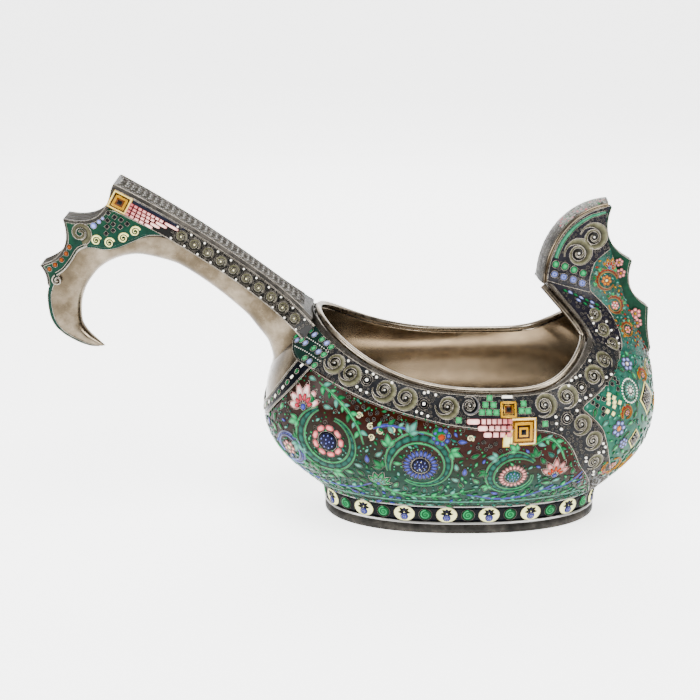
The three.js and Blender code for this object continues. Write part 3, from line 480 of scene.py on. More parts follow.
SLATE = linear("1a1b1d")
VIOLET = linear("17161c")
DEEP_TEAL = linear("062b22")
NIGHT = linear("05070c")
BROWN = linear("2c0b03")
UMBER = linear("170903")


# Meshes from the formulas

def to_frame(points):
    return (points + np.array([SHIFT, 0, 0])) * MM


def finish_mesh(bm, name, material, replaces=(), smooth=True):
    bmesh.ops.recalc_face_normals(bm, faces=bm.faces)
    mesh = bpy.data.meshes.new(name)
    bm.to_mesh(mesh)
    bm.free()
    mesh.polygons.foreach_set("use_smooth", [smooth] * len(mesh.polygons))
    mesh.materials.append(material)
    made = bpy.data.objects.new(name, mesh)
    bpy.context.scene.collection.objects.link(made)
    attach(made, "root")
    if replaces:
        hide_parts(*replaces)
    return made


# A piece on each side of the kovsh; build makes its mesh from the sign of the side
def finish_pair(build, name, material, node=None, smooth=True):
    for side, sign in SIDES:
        replaces = [f"{node}_{side}"] if node else ()
        finish_mesh(build(sign), f"{name}_{side}", material, replaces, smooth)


def plain_tint(colour):
    return lambda u, v: np.broadcast_to(np.array(colour), (len(u), 4))


# A grid bent by a formula of two shares; loops are closed where its edges meet
def bent_grid(formula, columns, rows, tint=None, thickness=0.0, y_sign=1, push=0.0):
    bm = bmesh.new()
    bmesh.ops.create_grid(bm, x_segments=columns, y_segments=rows, size=0.5)
    verts = list(bm.verts)
    u, v = (np.array([v.co[:2] for v in verts]) + 0.5).T
    placed = to_frame(formula(u, v) * np.array([1, y_sign, 1]))
    for vert, place in zip(verts, placed):
        vert.co = place
    if tint:
        layer = bm.verts.layers.float_color.new("Tint")
        for vert, colour in zip(bm.verts, tint(u, v)):
            vert[layer] = colour
    bmesh.ops.remove_doubles(bm, verts=bm.verts, dist=2e-6)
    if thickness:
        bmesh.ops.recalc_face_normals(bm, faces=bm.faces)
        bmesh.ops.solidify(bm, geom=bm.faces, thickness=thickness * MM)
    if push:
        grown = bmesh.ops.extrude_face_region(bm, geom=bm.faces, use_keep_orig=True)
        back = [item for item in grown["geom"] if isinstance(item, bmesh.types.BMVert)]
        bmesh.ops.translate(bm, verts=back, vec=(0, -push * y_sign * MM, 0))
    return bm


# A surface kept as a dense grid of points and normals, read between its knots
class Surface:
    def __init__(self, formula, columns=240, rows=120):
        u, v = np.meshgrid(np.linspace(0, 1, columns + 1), np.linspace(0, 1, rows + 1))
        self.points = formula(u, v)
        self.du = np.gradient(self.points, 1 / columns, axis=1)
        self.dv = np.gradient(self.points, 1 / rows, axis=0)
        self.normals = unit(np.cross(self.dv, self.du))
        self.columns, self.rows = columns, rows

    def read(self, grid, u, v):
        x = np.clip(u, 0, 1) * self.columns
        y = np.clip(v, 0, 1) * self.rows
        i = np.minimum(x.astype(int), self.columns - 1)
        j = np.minimum(y.astype(int), self.rows - 1)
        s, t = (x - i)[..., None], (y - j)[..., None]
        low = mix(grid[j, i], grid[j, i + 1], s)
        return mix(low, mix(grid[j + 1, i], grid[j + 1, i + 1], s), t)

    def at(self, u, v, lift=0.0):
        u, v = np.broadcast_arrays(np.asarray(u, float), np.asarray(v, float))
        normal = unit(self.read(self.normals, u, v))
        return self.read(self.points, u, v) + normal * np.asarray(lift, float)[..., None]

    # The surface's slopes at a place, and its directions along and up
    def axes(self, place):
        u, v = (np.array(float(share)) for share in place)
        du, dv = self.read(self.du, u, v), self.read(self.dv, u, v)
        along = unit(du)
        return du, dv, along, unit(dv - along * (dv @ along))

    # The shares of a point a millimetres forward and b millimetres up from a place
    def offset(self, u, v, a, b):
        du, dv, along, up = self.axes((u, v))
        step_v = b / max(dv @ up, 1e-6)
        step_u = (a - step_v * (dv @ along)) / np.linalg.norm(du)
        return u + step_u, v + step_v

    # The shares of places that lie at flat distances, in millimetres, from one place
    def reach(self, place, flat):
        origin = self.at(*place)
        _, _, along, up = self.axes(place)
        u, v = (np.full(len(flat), float(share)) for share in place)
        for _ in range(3):
            offset = self.at(u, v) - origin
            missing = flat - np.stack([offset @ along, offset @ up], axis=-1)
            du, dv = self.read(self.du, u, v), self.read(self.dv, u, v)
            a, b, c, d = du @ along, dv @ along, du @ up, dv @ up
            area = a * d - b * c
            area = np.where(np.abs(area) < 1, 1e9, area)
            u = np.clip(u + (d * missing[:, 0] - b * missing[:, 1]) / area, 0, 1)
            v = np.clip(v + (a * missing[:, 1] - c * missing[:, 0]) / area, 0, 1)
        return u, v

    def on(self, place, flat, lift=0.0):
        u, v = self.reach(place, flat)
        return self.at(u, v, lift)


HULL = Surface(lambda u, v: hull(1 - u, v), 360, 160)
CHEEK = Surface(cheek)


# The bowl

FLOOR_STEP = 0.06


# The bowl's profile runs from the middle of the underside, up the outside, over the lip and down inside
def bowl_point(around, along):
    turn = np.abs(around * 2 - 1)
    side = np.where(around < 0.5, -1, 1)
    outside = along < 0.5
    share = np.where(outside, along * 2, 2 - along * 2)
    rise = np.clip((share - FLOOR_STEP) / (1 - FLOOR_STEP), 0, 1)
    lift = np.where(outside, 0, -SHEET)
    skin = HULL.at(1 - turn, rise, lift)
    floor = np.clip(share / FLOOR_STEP, 0, 1)[..., None]
    middle = skin * np.array([0, 0, 1])
    placed = np.where(share[..., None] < FLOOR_STEP, mix(middle, skin, floor), skin)
    return placed * np.stack([np.ones_like(side), side, np.ones_like(side)], axis=-1)


# Its inner faces look towards the middle of the mouth, and have the burnished finish
def make_bowl():
    bm = bent_grid(bowl_point, 360, 150)
    made = finish_mesh(bm, "bowl", HANDLE_SILVER, ["bowl_shell"])
    made.data.materials.append(INSIDE_SILVER)
    middle = Vector(((SHIFT + RIM_CENTRE * 0.5) * MM, 0, (BELLY_HEIGHT + 12) * MM))
    inner = [int(face.normal.dot(middle - face.center) > 0) for face in made.data.polygons]
    made.data.polygons.foreach_set("material_index", inner)


make_bowl()


# A tube with a round section along an open line
def tube(points, radius, sides):
    along = unit(np.gradient(points, axis=0))
    side = unit(np.cross(along, np.array([0, 0, 1.0])))
    up = np.cross(side, along)

    def formula(u, v):
        i = np.round(u * (len(points) - 1)).astype(int)
        angle = (2 * math.pi * v)[:, None]
        return points[i] + radius * (side[i] * np.cos(angle) + up[i] * np.sin(angle))

    return bent_grid(formula, len(points) - 1, sides)


# The lip line: up the left edge of the neck, round the rim and back; lift is measured off the edge
LIP_BLUR = 9
LIP_EASE = 14
NECK_STEPS, RIM_STEPS = 40, 220


def lip_line(lift):
    inward = -SHEET / 2
    rises = np.linspace(NECK_END, 0, NECK_STEPS, endpoint=False)
    neck_edge = CHEEK.at(0, rises, inward)
    neck_off = unit(CHEEK.at(0, rises) - CHEEK.at(.04, rises))
    turns = np.linspace(SHOULDER_TURN, 1, RIM_STEPS + 1)
    rim_edge = HULL.at(1 - turns, 1, inward)
    rim_off = unit(HULL.at(1 - turns, 1) - HULL.at(1 - turns, .96))
    edge = np.concatenate([neck_edge, rim_edge])
    off = np.concatenate([neck_off, rim_off])
    margin = LIP_BLUR // 2
    padded = np.pad(edge, ((margin, margin), (0, 0)), "edge")
    soft = np.stack([np.convolve(c, np.full(LIP_BLUR, 1 / LIP_BLUR), "valid") for c in padded.T], axis=-1)
    near = np.clip(1 - np.abs(np.arange(len(edge)) - NECK_STEPS) / LIP_EASE, 0, 1)[:, None]
    edge = mix(edge, soft, near)
    along = unit(np.gradient(edge, axis=0))
    off = unit(off - along * np.sum(off * along, axis=-1, keepdims=True))
    left = edge + off * lift
    left[-1, 1] = 0
    right = left[-2::-1] * np.array([1, -1, 1])
    return np.concatenate([left, right])


finish_mesh(tube(lip_line(SEAT + BEAD_RADIUS), BEAD_RADIUS, 12), "rim_bead", SILVER, ["rim_bead"])


# The prow

def slab(surface, area, lift, thickness, columns, rows, tint=None, y_sign=1):
    return bent_grid(lambda u, v: surface.at(*area(u, v), lift), columns, rows, tint, thickness, y_sign)


# An area of shares between two pairs of limits
def window(us, vs):
    return lambda u, v: (mix(*us, u), mix(*vs, v))


WHOLE = window((0, 1), (0, 1))
finish_pair(lambda sign: slab(CHEEK, WHOLE, 0, SHEET, 60, 90, None, sign), "prow_cheek", SILVER,
            "prow_cheek")


def blade_front(v):
    corners = [(x * PROW_REACH, 0, PROW_LOW + z * (PROW_TOP - PROW_LOW)) for x, z in BLADE_CUSPS]
    return arc_chain(corners, BLADE_BITES, v)


def blade_point(u, v):
    z = mix(PROW_TOP, PROW_LOW, v)
    back = point(keel_x(z) - BLADE_SEAT, 0, z)
    across = np.abs(u * 2 - 1)
    reach = mix(blade_front(v), back, (across ** 3)[:, None])
    half = BLADE_HALF * np.minimum(1, (1 - (1 - across) ** 6) + 0.15)
    return point(reach[:, 0], half * np.sign(u - 0.5), reach[:, 2])


finish_mesh(bent_grid(blade_point, 32, 140, plain_tint(linear("06301f"))), "prow_blade", ENAMEL,
            ["prow_blade"])


# The crown strip: arched across, from the lower corner of the head to the tip
CROWN_THICKNESS = 1.6
CROWN_ARCH = 1.4
CROWN_OVERHANG = 1


def crown_point(u, v, lift=0.0):
    rise = mix(NECK_END, 1, v)
    edge = prow_back(rise)
    along = unit(prow_back(np.minimum(rise + .01, 1)) - prow_back(np.maximum(rise - .01, NECK_END)))
    out = point(-along[..., 2], 0, along[..., 0])
    half = prow_half(edge[..., 0], edge[..., 2]) + CROWN_OVERHANG
    across = u * 2 - 1
    height = SEAT + CROWN_THICKNESS + CROWN_ARCH * (1 - across**2) + lift
    at = edge + out * height[..., None]
    return point(at[..., 0], half * across, at[..., 2])


finish_mesh(bent_grid(crown_point, 28, 90, thickness=1.5), "prow_crown", DARK_SILVER, ["prow_crown"])


# The silver edge between the crown and the head's enamel, bowed a little outwards
def crown_edge(u, v):
    upper = crown_point(np.full_like(v, .97), v, -.4)
    lower = CHEEK.at(.006, mix(NECK_END, 1, v), .9)
    return mix(upper, lower, u[:, None]) + np.array([0, .5, 0]) * np.sin(math.pi * u)[:, None]


finish_pair(lambda sign: bent_grid(crown_edge, 6, 60, y_sign=sign), "crown_edge", HANDLE_SILVER)


# The foot: an oval ring from a profile of insets and heights

def foot_ring(profile):
    rows = len(profile) - 1
    table = np.array(profile, float)

    def formula(u, v):
        i = np.clip(np.round(v * rows).astype(int), 0, rows)
        inset, z = table[i, 0], table[i, 1]
        turn = np.abs(u * 2 - 1)
        placed = oval(FOOT_HALF_LENGTH - inset, FOOT_HALF_WIDTH - inset, FOOT_OVAL, math.pi * turn, z)
        placed[:, 1] *= np.where(u < 0.5, -1, 1)
        return placed

    return bent_grid(formula, 200, rows)


BASE = [
    (3.4, 0), (.4, 0), (0, .4), (0, 2.6), (.35, 3.3), (.9, 3.8), (1.2, 4.3), (1.3, 4.6), (3.4, 4.6), (3.4, 0)]
BAND = [(1.2, 4.9), (-.2, 15.7), (1.3, 15.7), (2.7, 4.9), (1.2, 4.9)]
finish_mesh(foot_ring(BASE), "foot_base_moulding", DARK_SILVER, ["foot_base_moulding"])
finish_mesh(foot_ring(BAND), "foot_band", DARK_SILVER, ["foot_band"], False)


# The handle: a bar of four corners, under the top line and in from its edge

def handle_bar(from_run, to_run, inner, depth_top, depth_bottom, columns, sign, end_lean=0.0):
    outer_corners = np.array([1, 1, 0, 0, 1])
    lower_corners = np.array([0, 1, 1, 0, 0])

    def formula(u, v):
        corner = np.round(v * 4).astype(int)
        low = lower_corners[corner]
        run = mix(from_run - end_lean * low, to_run - end_lean * low, u)
        half = plate_half(run) - np.where(outer_corners[corner] == 1, 0, inner(run))
        placed = handle_point(run, mix(depth_top, depth_bottom, low))
        return point(placed[:, 0], half, placed[:, 2])

    return bent_grid(formula, columns, 4, y_sign=sign)


finish_mesh(handle_bar(-.004, 1, lambda run: 2 * plate_half(run), 0, PLATE, 60, 1), "handle_top_plate",
            DARK_SILVER, ["handle_top_plate"], False)

ARCH_OVAL = 2.15


def arch(top, floor, half, inset, v):
    angle = math.pi * (v - 0.5)
    depth = np.maximum(np.cos(angle), 0) ** (2 / ARCH_OVAL)
    width = np.sign(angle) * np.abs(np.sin(angle)) ** (2 / ARCH_OVAL)
    raised = floor + unit(top - floor) * inset
    at = mix(top, raised, depth[..., None])
    return point(at[..., 0], (half - inset) * width, at[..., 2])


def open_arch(station):
    def formula(u, v):
        top, floor, half = station(u)
        outer = v < 0.5
        share = np.where(outer, v * 2, 2 - v * 2)
        return np.where(outer[..., None], arch(top, floor, half, 0, share),
                        arch(top, floor, half, SHEET, share))

    return formula


def long_channel(u):
    share = np.minimum(u / 0.8, 1)
    top, floor, half = channel_station(mix(-.012, .6, share), mix(-.045, .6, share))
    end_top, end_floor, end_half = horn_station(np.zeros_like(u))
    t = np.clip((u - 0.8) / 0.2, 0, 1)
    return mix(top, end_top, t[..., None]), mix(floor, end_floor, t[..., None]), mix(half, end_half, t)


# The channel and the horn run on as one body, with the corner between them eased
BODY_JOIN = .45
BODY_EASE = .3
BODY_BLUR = 40


def handle_body(u):
    shares = np.linspace(0, 1, 401)
    channel = shares < BODY_JOIN
    root = long_channel(np.clip(shares / BODY_JOIN, 0, 1))
    hook = horn_station(np.clip((shares - BODY_JOIN) / (1 - BODY_JOIN), 0, 1) * HORN_HOLLOW)
    blur = np.exp(-np.linspace(-2, 2, 2 * BODY_BLUR + 1) ** 2)
    keep = np.clip(np.abs(shares - BODY_JOIN) / BODY_EASE, 0, 1)[:, None]
    eased = []
    for before, after in zip(root, hook):
        table = np.where(channel[:, None] if before.ndim > 1 else channel, before, after)
        columns = table.reshape(len(shares), -1)
        padded = np.pad(columns, ((BODY_BLUR, BODY_BLUR), (0, 0)), "edge")
        soft = np.stack([np.convolve(c, blur / blur.sum(), "valid") for c in padded.T], axis=-1)
        columns = mix(soft, columns, keep)
        smooth = np.stack([np.interp(u, shares, c) for c in columns.T], axis=-1)
        eased.append(smooth.reshape(u.shape + table.shape[1:]))
    return eased


finish_mesh(bent_grid(open_arch(handle_body), 220, 64), "handle_body", HANDLE_SILVER,
            ["handle_channel", "hook_horn"])


# The solid tip: the arch of the horn, closed along its top
def tip_point(u, v):
    top, floor, half = horn_station(mix(HORN_HOLLOW, HORN_END, u))
    body = arch(top, floor, half, 0, np.clip(v * 1.25, 0, 1))
    back = np.clip((v - 0.8) / 0.2, 0, 1)
    close = point(top[..., 0], mix(half, -half, back), top[..., 2])
    return np.where((v > 0.8)[..., None], close, body)


finish_mesh(bent_grid(tip_point, 24, 50), "hook_tip", HANDLE_SILVER, ["hook_tip"])

BAND_FROM, BAND_TO, BAND_LEAN = -0.01, 0.985, 0.035
BAND_THICKNESS = 1.8


def make_band(sign):
    return handle_bar(BAND_FROM, BAND_TO, lambda run: BAND_THICKNESS, BAND_TOP, BAND_BOTTOM, 80, sign,
                      BAND_LEAN)


finish_pair(make_band, "handle_side_band", DARK_SILVER, "handle_side_band", False)


# The hook's cheek: place along the horn first under the side band, then under the crest
CHEEK_SPLIT = 0.45


def hook_edges(u):
    first = u < CHEEK_SPLIT
    under_band = np.clip(u / CHEEK_SPLIT, 0, 1)
    place, up = handle_frame(mix(.8, BAND_TO - BAND_LEAN, under_band))
    band_head = place - up * (BAND_BOTTOM + SEAT)
    under_crest = np.clip((u - CHEEK_SPLIT) / (1 - CHEEK_SPLIT), 0, 1)
    arc_place, crest, inward = crest_line(mix(.09, 1, under_crest))
    head = np.where(first[..., None], band_head, crest + inward * (CREST * 0.9))
    band_place_end = mix(CREST_PLACES[0], CREST_PLACES[1], .27)
    foot, _, _ = horn_station(np.where(first, band_place_end * u / CHEEK_SPLIT, arc_place))
    return foot, head


def hook_cheek_point(u, v):
    foot, head = hook_edges(u)
    at = mix(foot, head, v[..., None])
    return point(at[..., 0], hook_half(at[..., 0]), at[..., 2])


HOOK = Surface(hook_cheek_point, 200, 60)


def hook_tint(u, v):
    return mix(np.array(DEEP_TEAL), np.array(linear("07301f")), np.clip(v, 0, 1)[:, None])


finish_pair(lambda sign: bent_grid(hook_cheek_point, 120, 24, hook_tint, 0, sign, 1.4), "hook_cheek", ENAMEL,
            "hook_cheek")


def crest_point(u, v):
    _, crest, inward = crest_line(u)
    corner = np.round(v * 4).astype(int) % 4
    deep = np.array([0, 0, 1, 1])[corner]
    across = np.array([1, -1, -1, 1])[corner]
    at = crest + inward * (deep * CREST)[..., None]
    return point(at[..., 0], hook_half(at[..., 0]) * across * 1.01, at[..., 2])


finish_mesh(bent_grid(crest_point, 120, 4), "hook_crest", DARK_SILVER, ["hook_crest"], False)

STRIP_HEIGHT = 2.2


def strip_point(u, v):
    top, floor, half = horn_station(mix(STRIP_PLACES[0], STRIP_PLACES[1], u))
    corner = np.round(v * 4).astype(int) % 4
    lift = np.array([0, 1, 1, 0])[corner] * STRIP_HEIGHT * np.clip((1 - u) / .12, .5, 1)
    across = np.array([1, 1, -1, -1])[corner]
    at = top + unit(top - floor) * lift[..., None]
    return point(at[..., 0], half * across, at[..., 2])


finish_mesh(bent_grid(strip_point, 40, 4, plain_tint(DEEP_TEAL)), "horn_back_strip", ENAMEL,
            ["horn_back_strip"], False)


# Enamel grounds on the bowl

SKIN_TOP = 0.985
SHOULDER_TOP = 0.998
PANEL_LOW = 0.01
PANEL_LINE = [
    (.4, .579), (.49, .614), (.59, .717), (.7, .786), (.8, .806), (.8169, .727), (.834, .642), (.8641, .562),
    (.9213, .474), (1, .415)]
LEAF_FRONT = [(.03, .12), (.1, .16), (.3, .235), (.5, .275), (.7, .309)]
LEAF_BACK = [(.03, .19), (.088, .226), (.3, .3075), (.475, .35), (.579, .4)]
FRONT_LINE = [
    (.7, .309), (.734, .304), (.757, .286), (.779, .2546), (.797, .2289), (.807, .2), (.82, .17), (.88, .1345),
    (.985, .092), (1, .086)]
DIAGONAL_LOW = [(0, .83), (.056, .739), (.144, .654), (.3, .574), (.594, .486), (1, .43)]
DIAGONAL_HIGH = [(0, .81), (.066, .724), (.185, .642), (.463, .554), (1, .49)]
LEAF_TURN = 0.309
LEAF_TOP = 0.575
COLLAR_BACK = 0.806
SHOULDER_FRONT = 0.088
DIAGONAL_LOW_TURN, DIAGONAL_HIGH_TURN = 0.806, 0.856


def collar_low(turn):
    return np.where(turn < LEAF_BACK[-1][1], LEAF_TOP, read_table(PANEL_LINE, turn))


def collar_area(u, v):
    turn = mix(COLLAR_BACK, LEAF_TURN, u)
    return 1 - turn, mix(collar_low(turn), SKIN_TOP, v)


def shoulder_area(u, v):
    turn = mix(LEAF_TURN, SHOULDER_FRONT, u)
    low = np.interp(turn, [t for _, t in FRONT_LINE[::-1]], [r for r, _ in FRONT_LINE[::-1]])
    return 1 - turn, mix(low, np.where(turn < SHOULDER_TURN, SHOULDER_TOP, SKIN_TOP), v)


def leaf_area(u, v):
    rise = mix(PANEL_LOW, LEAF_TOP, v)
    return 1 - mix(read_table(LEAF_BACK, rise), read_table(LEAF_FRONT, rise), u), rise


def side_area(u, v):
    turn = mix(1, LEAF_BACK[0][1], u)
    back_line = read_table(PANEL_LINE, turn)
    front_line = read_table([(t, r) for r, t in LEAF_BACK], turn)
    return 1 - turn, mix(PANEL_LOW, np.where(turn > LEAF_BACK[-1][1], back_line, front_line), v)


def front_area(u, v):
    rise = mix(PANEL_LOW, SHOULDER_TOP, v)
    above = np.interp(rise, *zip(*FRONT_LINE))
    line = np.where(rise > FRONT_LINE[0][0], above, read_table(LEAF_FRONT, rise))
    return 1 - mix(line, 0, u), rise


def diagonal_area(u, v):
    low_turn, high_turn = mix(1, DIAGONAL_LOW_TURN, u), mix(1, DIAGONAL_HIGH_TURN, u)
    low = read_table(DIAGONAL_LOW, 1 - u)
    high = read_table(DIAGONAL_HIGH, 1 - u)
    return 1 - mix(low_turn, high_turn, v), mix(low, high, v)


# Brown glass above, running down into dark green
def side_tint(u, v):
    forward = np.clip(u, 0, 1)[:, None]
    top = mix(np.array(UMBER), np.array(BROWN), forward)
    low = mix(np.array(linear("082818")), np.array(linear("062e24")), forward)
    return mix(low, top, np.clip((v[:, None] - .35) / .35, 0, 1))


def front_tint(u, v):
    return mix(np.array(linear("0f4e38")), np.array(linear("255046")), np.clip(u * .6 + v * .5, 0, 1)[:, None])


# Name, area, columns, rows, tint, the node that it replaces, slot
GROUNDS = [
    ("collar_ground", collar_area, 130, 30, plain_tint(SLATE), "collar_enamel", "slate_enamel"),
    ("shoulder_ground", shoulder_area, 70, 24, plain_tint(SLATE), None, "slate_enamel"),
    ("leaf_ground", leaf_area, 24, 50, plain_tint(SLATE), None, "slate_enamel"),
    ("side_ground", side_area, 160, 70, side_tint, "side_enamel", "green_enamel"),
    ("front_ground", front_area, 60, 110, front_tint, "front_enamel", "teal_enamel"),
    ("diagonal_ground", diagonal_area, 50, 8, plain_tint(NIGHT), "diagonal_band", "night_enamel"),
]
for name, area, columns, rows, tint, node, slot in GROUNDS:
    finish_pair(lambda sign: slab(HULL, area, ENAMEL_LIFT, ENAMEL_DEPTH, columns, rows, tint, sign),
                name, ENAMEL, node)
finish_pair(lambda sign: slab(CHEEK, WHOLE, ENAMEL_LIFT, ENAMEL_DEPTH, 60, 90, plain_tint(VIOLET), sign),
            "head_ground", ENAMEL, "head_enamel")


# Dressing: wires, cells and ribbons laid on the surfaces for the left side and mirrored to the right.
# A style's wire has a material, a radius in millimetres and a roundness

BED = 1.0
WIRE_STYLES = {
    "silver": (WIRE_SILVER, 0.2, 1),
    "fine": (WIRE_SILVER, 0.13, 0),
    "heavy": (WIRE_SILVER, 0.45, 1),
    "gold": (GILT_WIRE, 0.22, 1),
    "dull": (DULL_WIRE, 0.2, 0),
    "grain": (DULL_WIRE, 0.15, 0),
}
WIRES = {}
ROUNDS = {}
RIBBONS = {}
TAKEN = []


def tone(hexes):
    return np.array(linear(hexes))


OLIVE_LIGHT, OLIVE_MID, OLIVE_DEEP = tone("7b795e"), tone("4d4b37"), tone("12110b")
PEARL, CREAM_LIGHT, CREAM_DEEP = tone("f4f0e4"), tone("f2f0a4"), tone("c8bd62")
LEAF_LIGHT, LEAF_GREEN, LEAF_DEEP = tone("229a5a"), tone("095f30"), tone("021c0f")
SEA_LIGHT, SEA, SEA_DEEP = tone("4d9480"), tone("145244"), tone("052620")
SKY, LILAC, INDIGO = tone("8f9fe0"), tone("4048a0"), tone("0c0b30")
PINK_LIGHT, PINK_DEEP, CRIMSON = tone("ee9f98"), tone("a83442"), tone("38050c")
AMBER_LIGHT, AMBER_DEEP, RUST = tone("b07c00"), tone("4a2503"), tone("9a2e0a")
INK, EARTH = tone("030406"), tone("180602")


def wire(piece, style, points, taper=None):
    WIRES.setdefault((piece, style), []).append((to_frame(points), taper))


# Takes a place on a surface, so that no filling is laid there
def take(points, radius):
    TAKEN.extend((spot, radius) for spot in np.atleast_2d(points))


def circle(radius, count=8, stretch=1.0):
    angle = np.linspace(0, 2 * math.pi, count, endpoint=False)
    return np.stack([radius * stretch * np.cos(angle), radius * np.sin(angle)], axis=-1)


def block(width, height, count=8):
    angle = np.linspace(0, 2 * math.pi, count, endpoint=False)
    c, s = np.cos(angle), np.sin(angle)
    reach = 1 / np.maximum(np.abs(c), np.abs(s))
    return np.stack([c * reach * width / 2, s * reach * height / 2], axis=-1)


def pill(width, height):
    angle = np.linspace(0, 2 * math.pi, 12, endpoint=False) + math.pi / 12
    c, s = np.cos(angle), np.sin(angle)
    return np.stack([np.sign(c) * np.abs(c) ** .4 * width / 2,
                     np.sign(s) * np.abs(s) ** .6 * height / 2], axis=-1)


def leaf_outline(length, width, count=12):
    t = np.linspace(0, 2, count, endpoint=False)
    along = np.where(t < 1, t, 2 - t)
    side = np.where(t < 1, 1, -1)
    bulge = np.sin(math.pi * along**0.75) ** 0.9
    return np.stack([length * along, side * bulge * width / 2], axis=-1)


def turned(flat, angle):
    c, s = math.cos(angle), math.sin(angle)
    return flat @ np.array([[c, s], [-s, c]])


def coil(radius, turns, start, hand=1, core=0.1, per_turn=16):
    t = np.linspace(1, 0, int(turns * per_turn) + 1)
    angle = start + hand * 2 * math.pi * turns * (1 - t)
    reach = radius * (core + (1 - core) * t)
    return np.stack([reach * np.cos(angle), reach * np.sin(angle)], axis=-1)


# A domed cell of enamel with its colour running from the heart to the edge
def cell(piece, surface, place, flat, edge, heart, height=0.4, lift=BED, outline=None, waist=0.8):
    low = surface.on(place, flat, lift - 0.15)
    middle = flat.mean(axis=0)
    high = surface.on(place, middle + (flat - middle) * waist, lift + height)
    top = surface.on(place, middle[None], lift + height * 1.15)
    ROUNDS.setdefault(piece, []).append((to_frame(low), to_frame(high), to_frame(top)[0], edge, heart))
    take(top, 0.8 * np.linalg.norm(flat - middle, axis=-1).max())
    if outline:
        loop = surface.on(place, np.concatenate([flat, flat[:2]]), lift + height * 0.5)
        wire(piece + "_wires", outline, loop)


def pearl(piece, surface, place, radius, edge=PEARL, heart=PEARL, height=None, lift=BED):
    cell(piece, surface, place, circle(radius), edge, heart, radius * 0.9 if height is None else height, lift)


# Places an even pitch apart along a path
def even_places(surface, path, pitch):
    path = np.asarray(path, float)
    points = surface.at(path[:, 0], path[:, 1])
    run = np.concatenate([[0], np.cumsum(np.linalg.norm(np.diff(points, axis=0), axis=1))])
    count = max(int(run[-1] / pitch), 1)
    marks = (np.arange(count) + 0.5) * run[-1] / count
    return list(zip(np.interp(marks, run, path[:, 0]), np.interp(marks, run, path[:, 1])))


# A dull wire that swells into beads
def bead_wire(piece, surface, path, radius, lift):
    path = np.asarray(path, float)
    places = np.array(even_places(surface, path, radius * 0.9))
    points = surface.at(places[:, 0], places[:, 1], lift)
    swell = np.where(np.arange(len(points)) % 3 == 0, 0.62, 1.15) * radius / WIRE_STYLES["dull"][1]
    wire(piece, "dull", points, swell)


def path_wire(piece, style, surface, path, lift):
    path = np.asarray(path, float)
    points = surface.at(path[:, 0], path[:, 1], lift)
    wire(piece, style, points)
    take(points[::2], 0.3)


# A domed ribbon along a line on a surface, with a wire down each edge
def ribbon(piece, surface, place, flat, widths, tints, height=0.35, lift=BED, ribs=0.0, outline="silver"):
    u, v = surface.reach(place, flat)
    normal = unit(surface.read(surface.normals, u, v))
    lay_ribbon(piece, surface.at(u, v, lift), normal, widths, tints, height, ribs, outline)


def lay_ribbon(piece, line, normal, widths, tints, height, ribs, outline):
    along = unit(np.gradient(line, axis=0))
    side = unit(np.cross(normal, along))
    widths = np.broadcast_to(np.asarray(widths, float), (len(line),))[:, None]
    left = line + side * widths / 2
    right = line - side * widths / 2
    points = np.stack([left - normal * 0.15, line + normal * height, right - normal * 0.15], axis=1)
    shade = np.ones(len(line))
    shade[::3] -= ribs
    tints = np.broadcast_to(np.stack(tints), (len(line), 3, 4)) * shade[:, None, None]
    RIBBONS.setdefault(piece, []).append((to_frame(points), tints))
    take(line[::3], float(widths.max()) / 2)
    if outline:
        wire(piece + "_wires", outline, left + normal * 0.1)
        wire(piece + "_wires", outline, right + normal * 0.1)


# The same along a path of shares
def path_ribbon(piece, surface, path, widths, tints, height, ribs=0.0, outline="grain"):
    u, v = path.T
    normal = unit(surface.read(surface.normals, u, v))
    lay_ribbon(piece, surface.at(u, v, BED), normal, widths, tints, height, ribs, outline)


# A coiled shell: a thin tail widens into a ribbed crescent, which narrows again into a dark coil
SHELL_WIDTHS = [
    (0, .05), (.1, .14), (.25, .42), (.42, .52), (.6, .42), (.8, .28), (1, .18), (1.4, .12), (2.1, .06)]
SHELL_REACH = [(0, 1), (.3, 1), (.5, .95), (.75, .82), (1, .64), (1.25, .5), (1.5, .4), (2.1, .2)]


def ammonite(piece, surface, place, radius, start, hand=1, tints=(OLIVE_LIGHT, OLIVE_MID, OLIVE_DEEP)):
    cell(piece, surface, place, circle(radius * .62, 14), INK, OLIVE_DEEP, .08)
    turns = np.linspace(0, 2.1, 62)
    width = radius * read_table(SHELL_WIDTHS, turns)
    reach = radius * read_table(SHELL_REACH, turns) - width / 2
    angle = start + hand * 2 * math.pi * turns
    flat = np.stack([reach * np.cos(angle), reach * np.sin(angle)], axis=-1)
    ribbon(piece, surface, place, flat, width, tints[::hand], 0.5, BED + .05, ribs=0.25)
    pearl(piece, surface, place, radius * 0.1, OLIVE_DEEP, PEARL)
    take(surface.at(*place)[None], radius * .85)


# A dark disc ringed with wire, with a white pearl in it
def eye(piece, surface, place, radius):
    cell(piece, surface, place, circle(radius, 16), INK, INK, 0.15, outline="fine")
    ring = circle(radius * 0.66, 14)
    wire(piece + "_wires", "fine", surface.on(place, np.concatenate([ring, ring[:2]]), BED + 0.3))
    pearl(piece, surface, place, radius * 0.3, PEARL, PEARL, 0.7)


# A cream scroll on a dark disc
def curl(piece, surface, place, radius, start):
    flat = coil(radius * .8, 1.5, start, 1, 0.14, 13)
    widths = np.linspace(radius * .42, radius * .2, len(flat))
    cell(piece, surface, place, circle(radius * .8, 10), INK, INK, 0.1)
    ribbon(piece, surface, place, flat, widths, (CREAM_LIGHT, CREAM_LIGHT, CREAM_DEEP), 0.3, BED + .1,
           outline="fine")


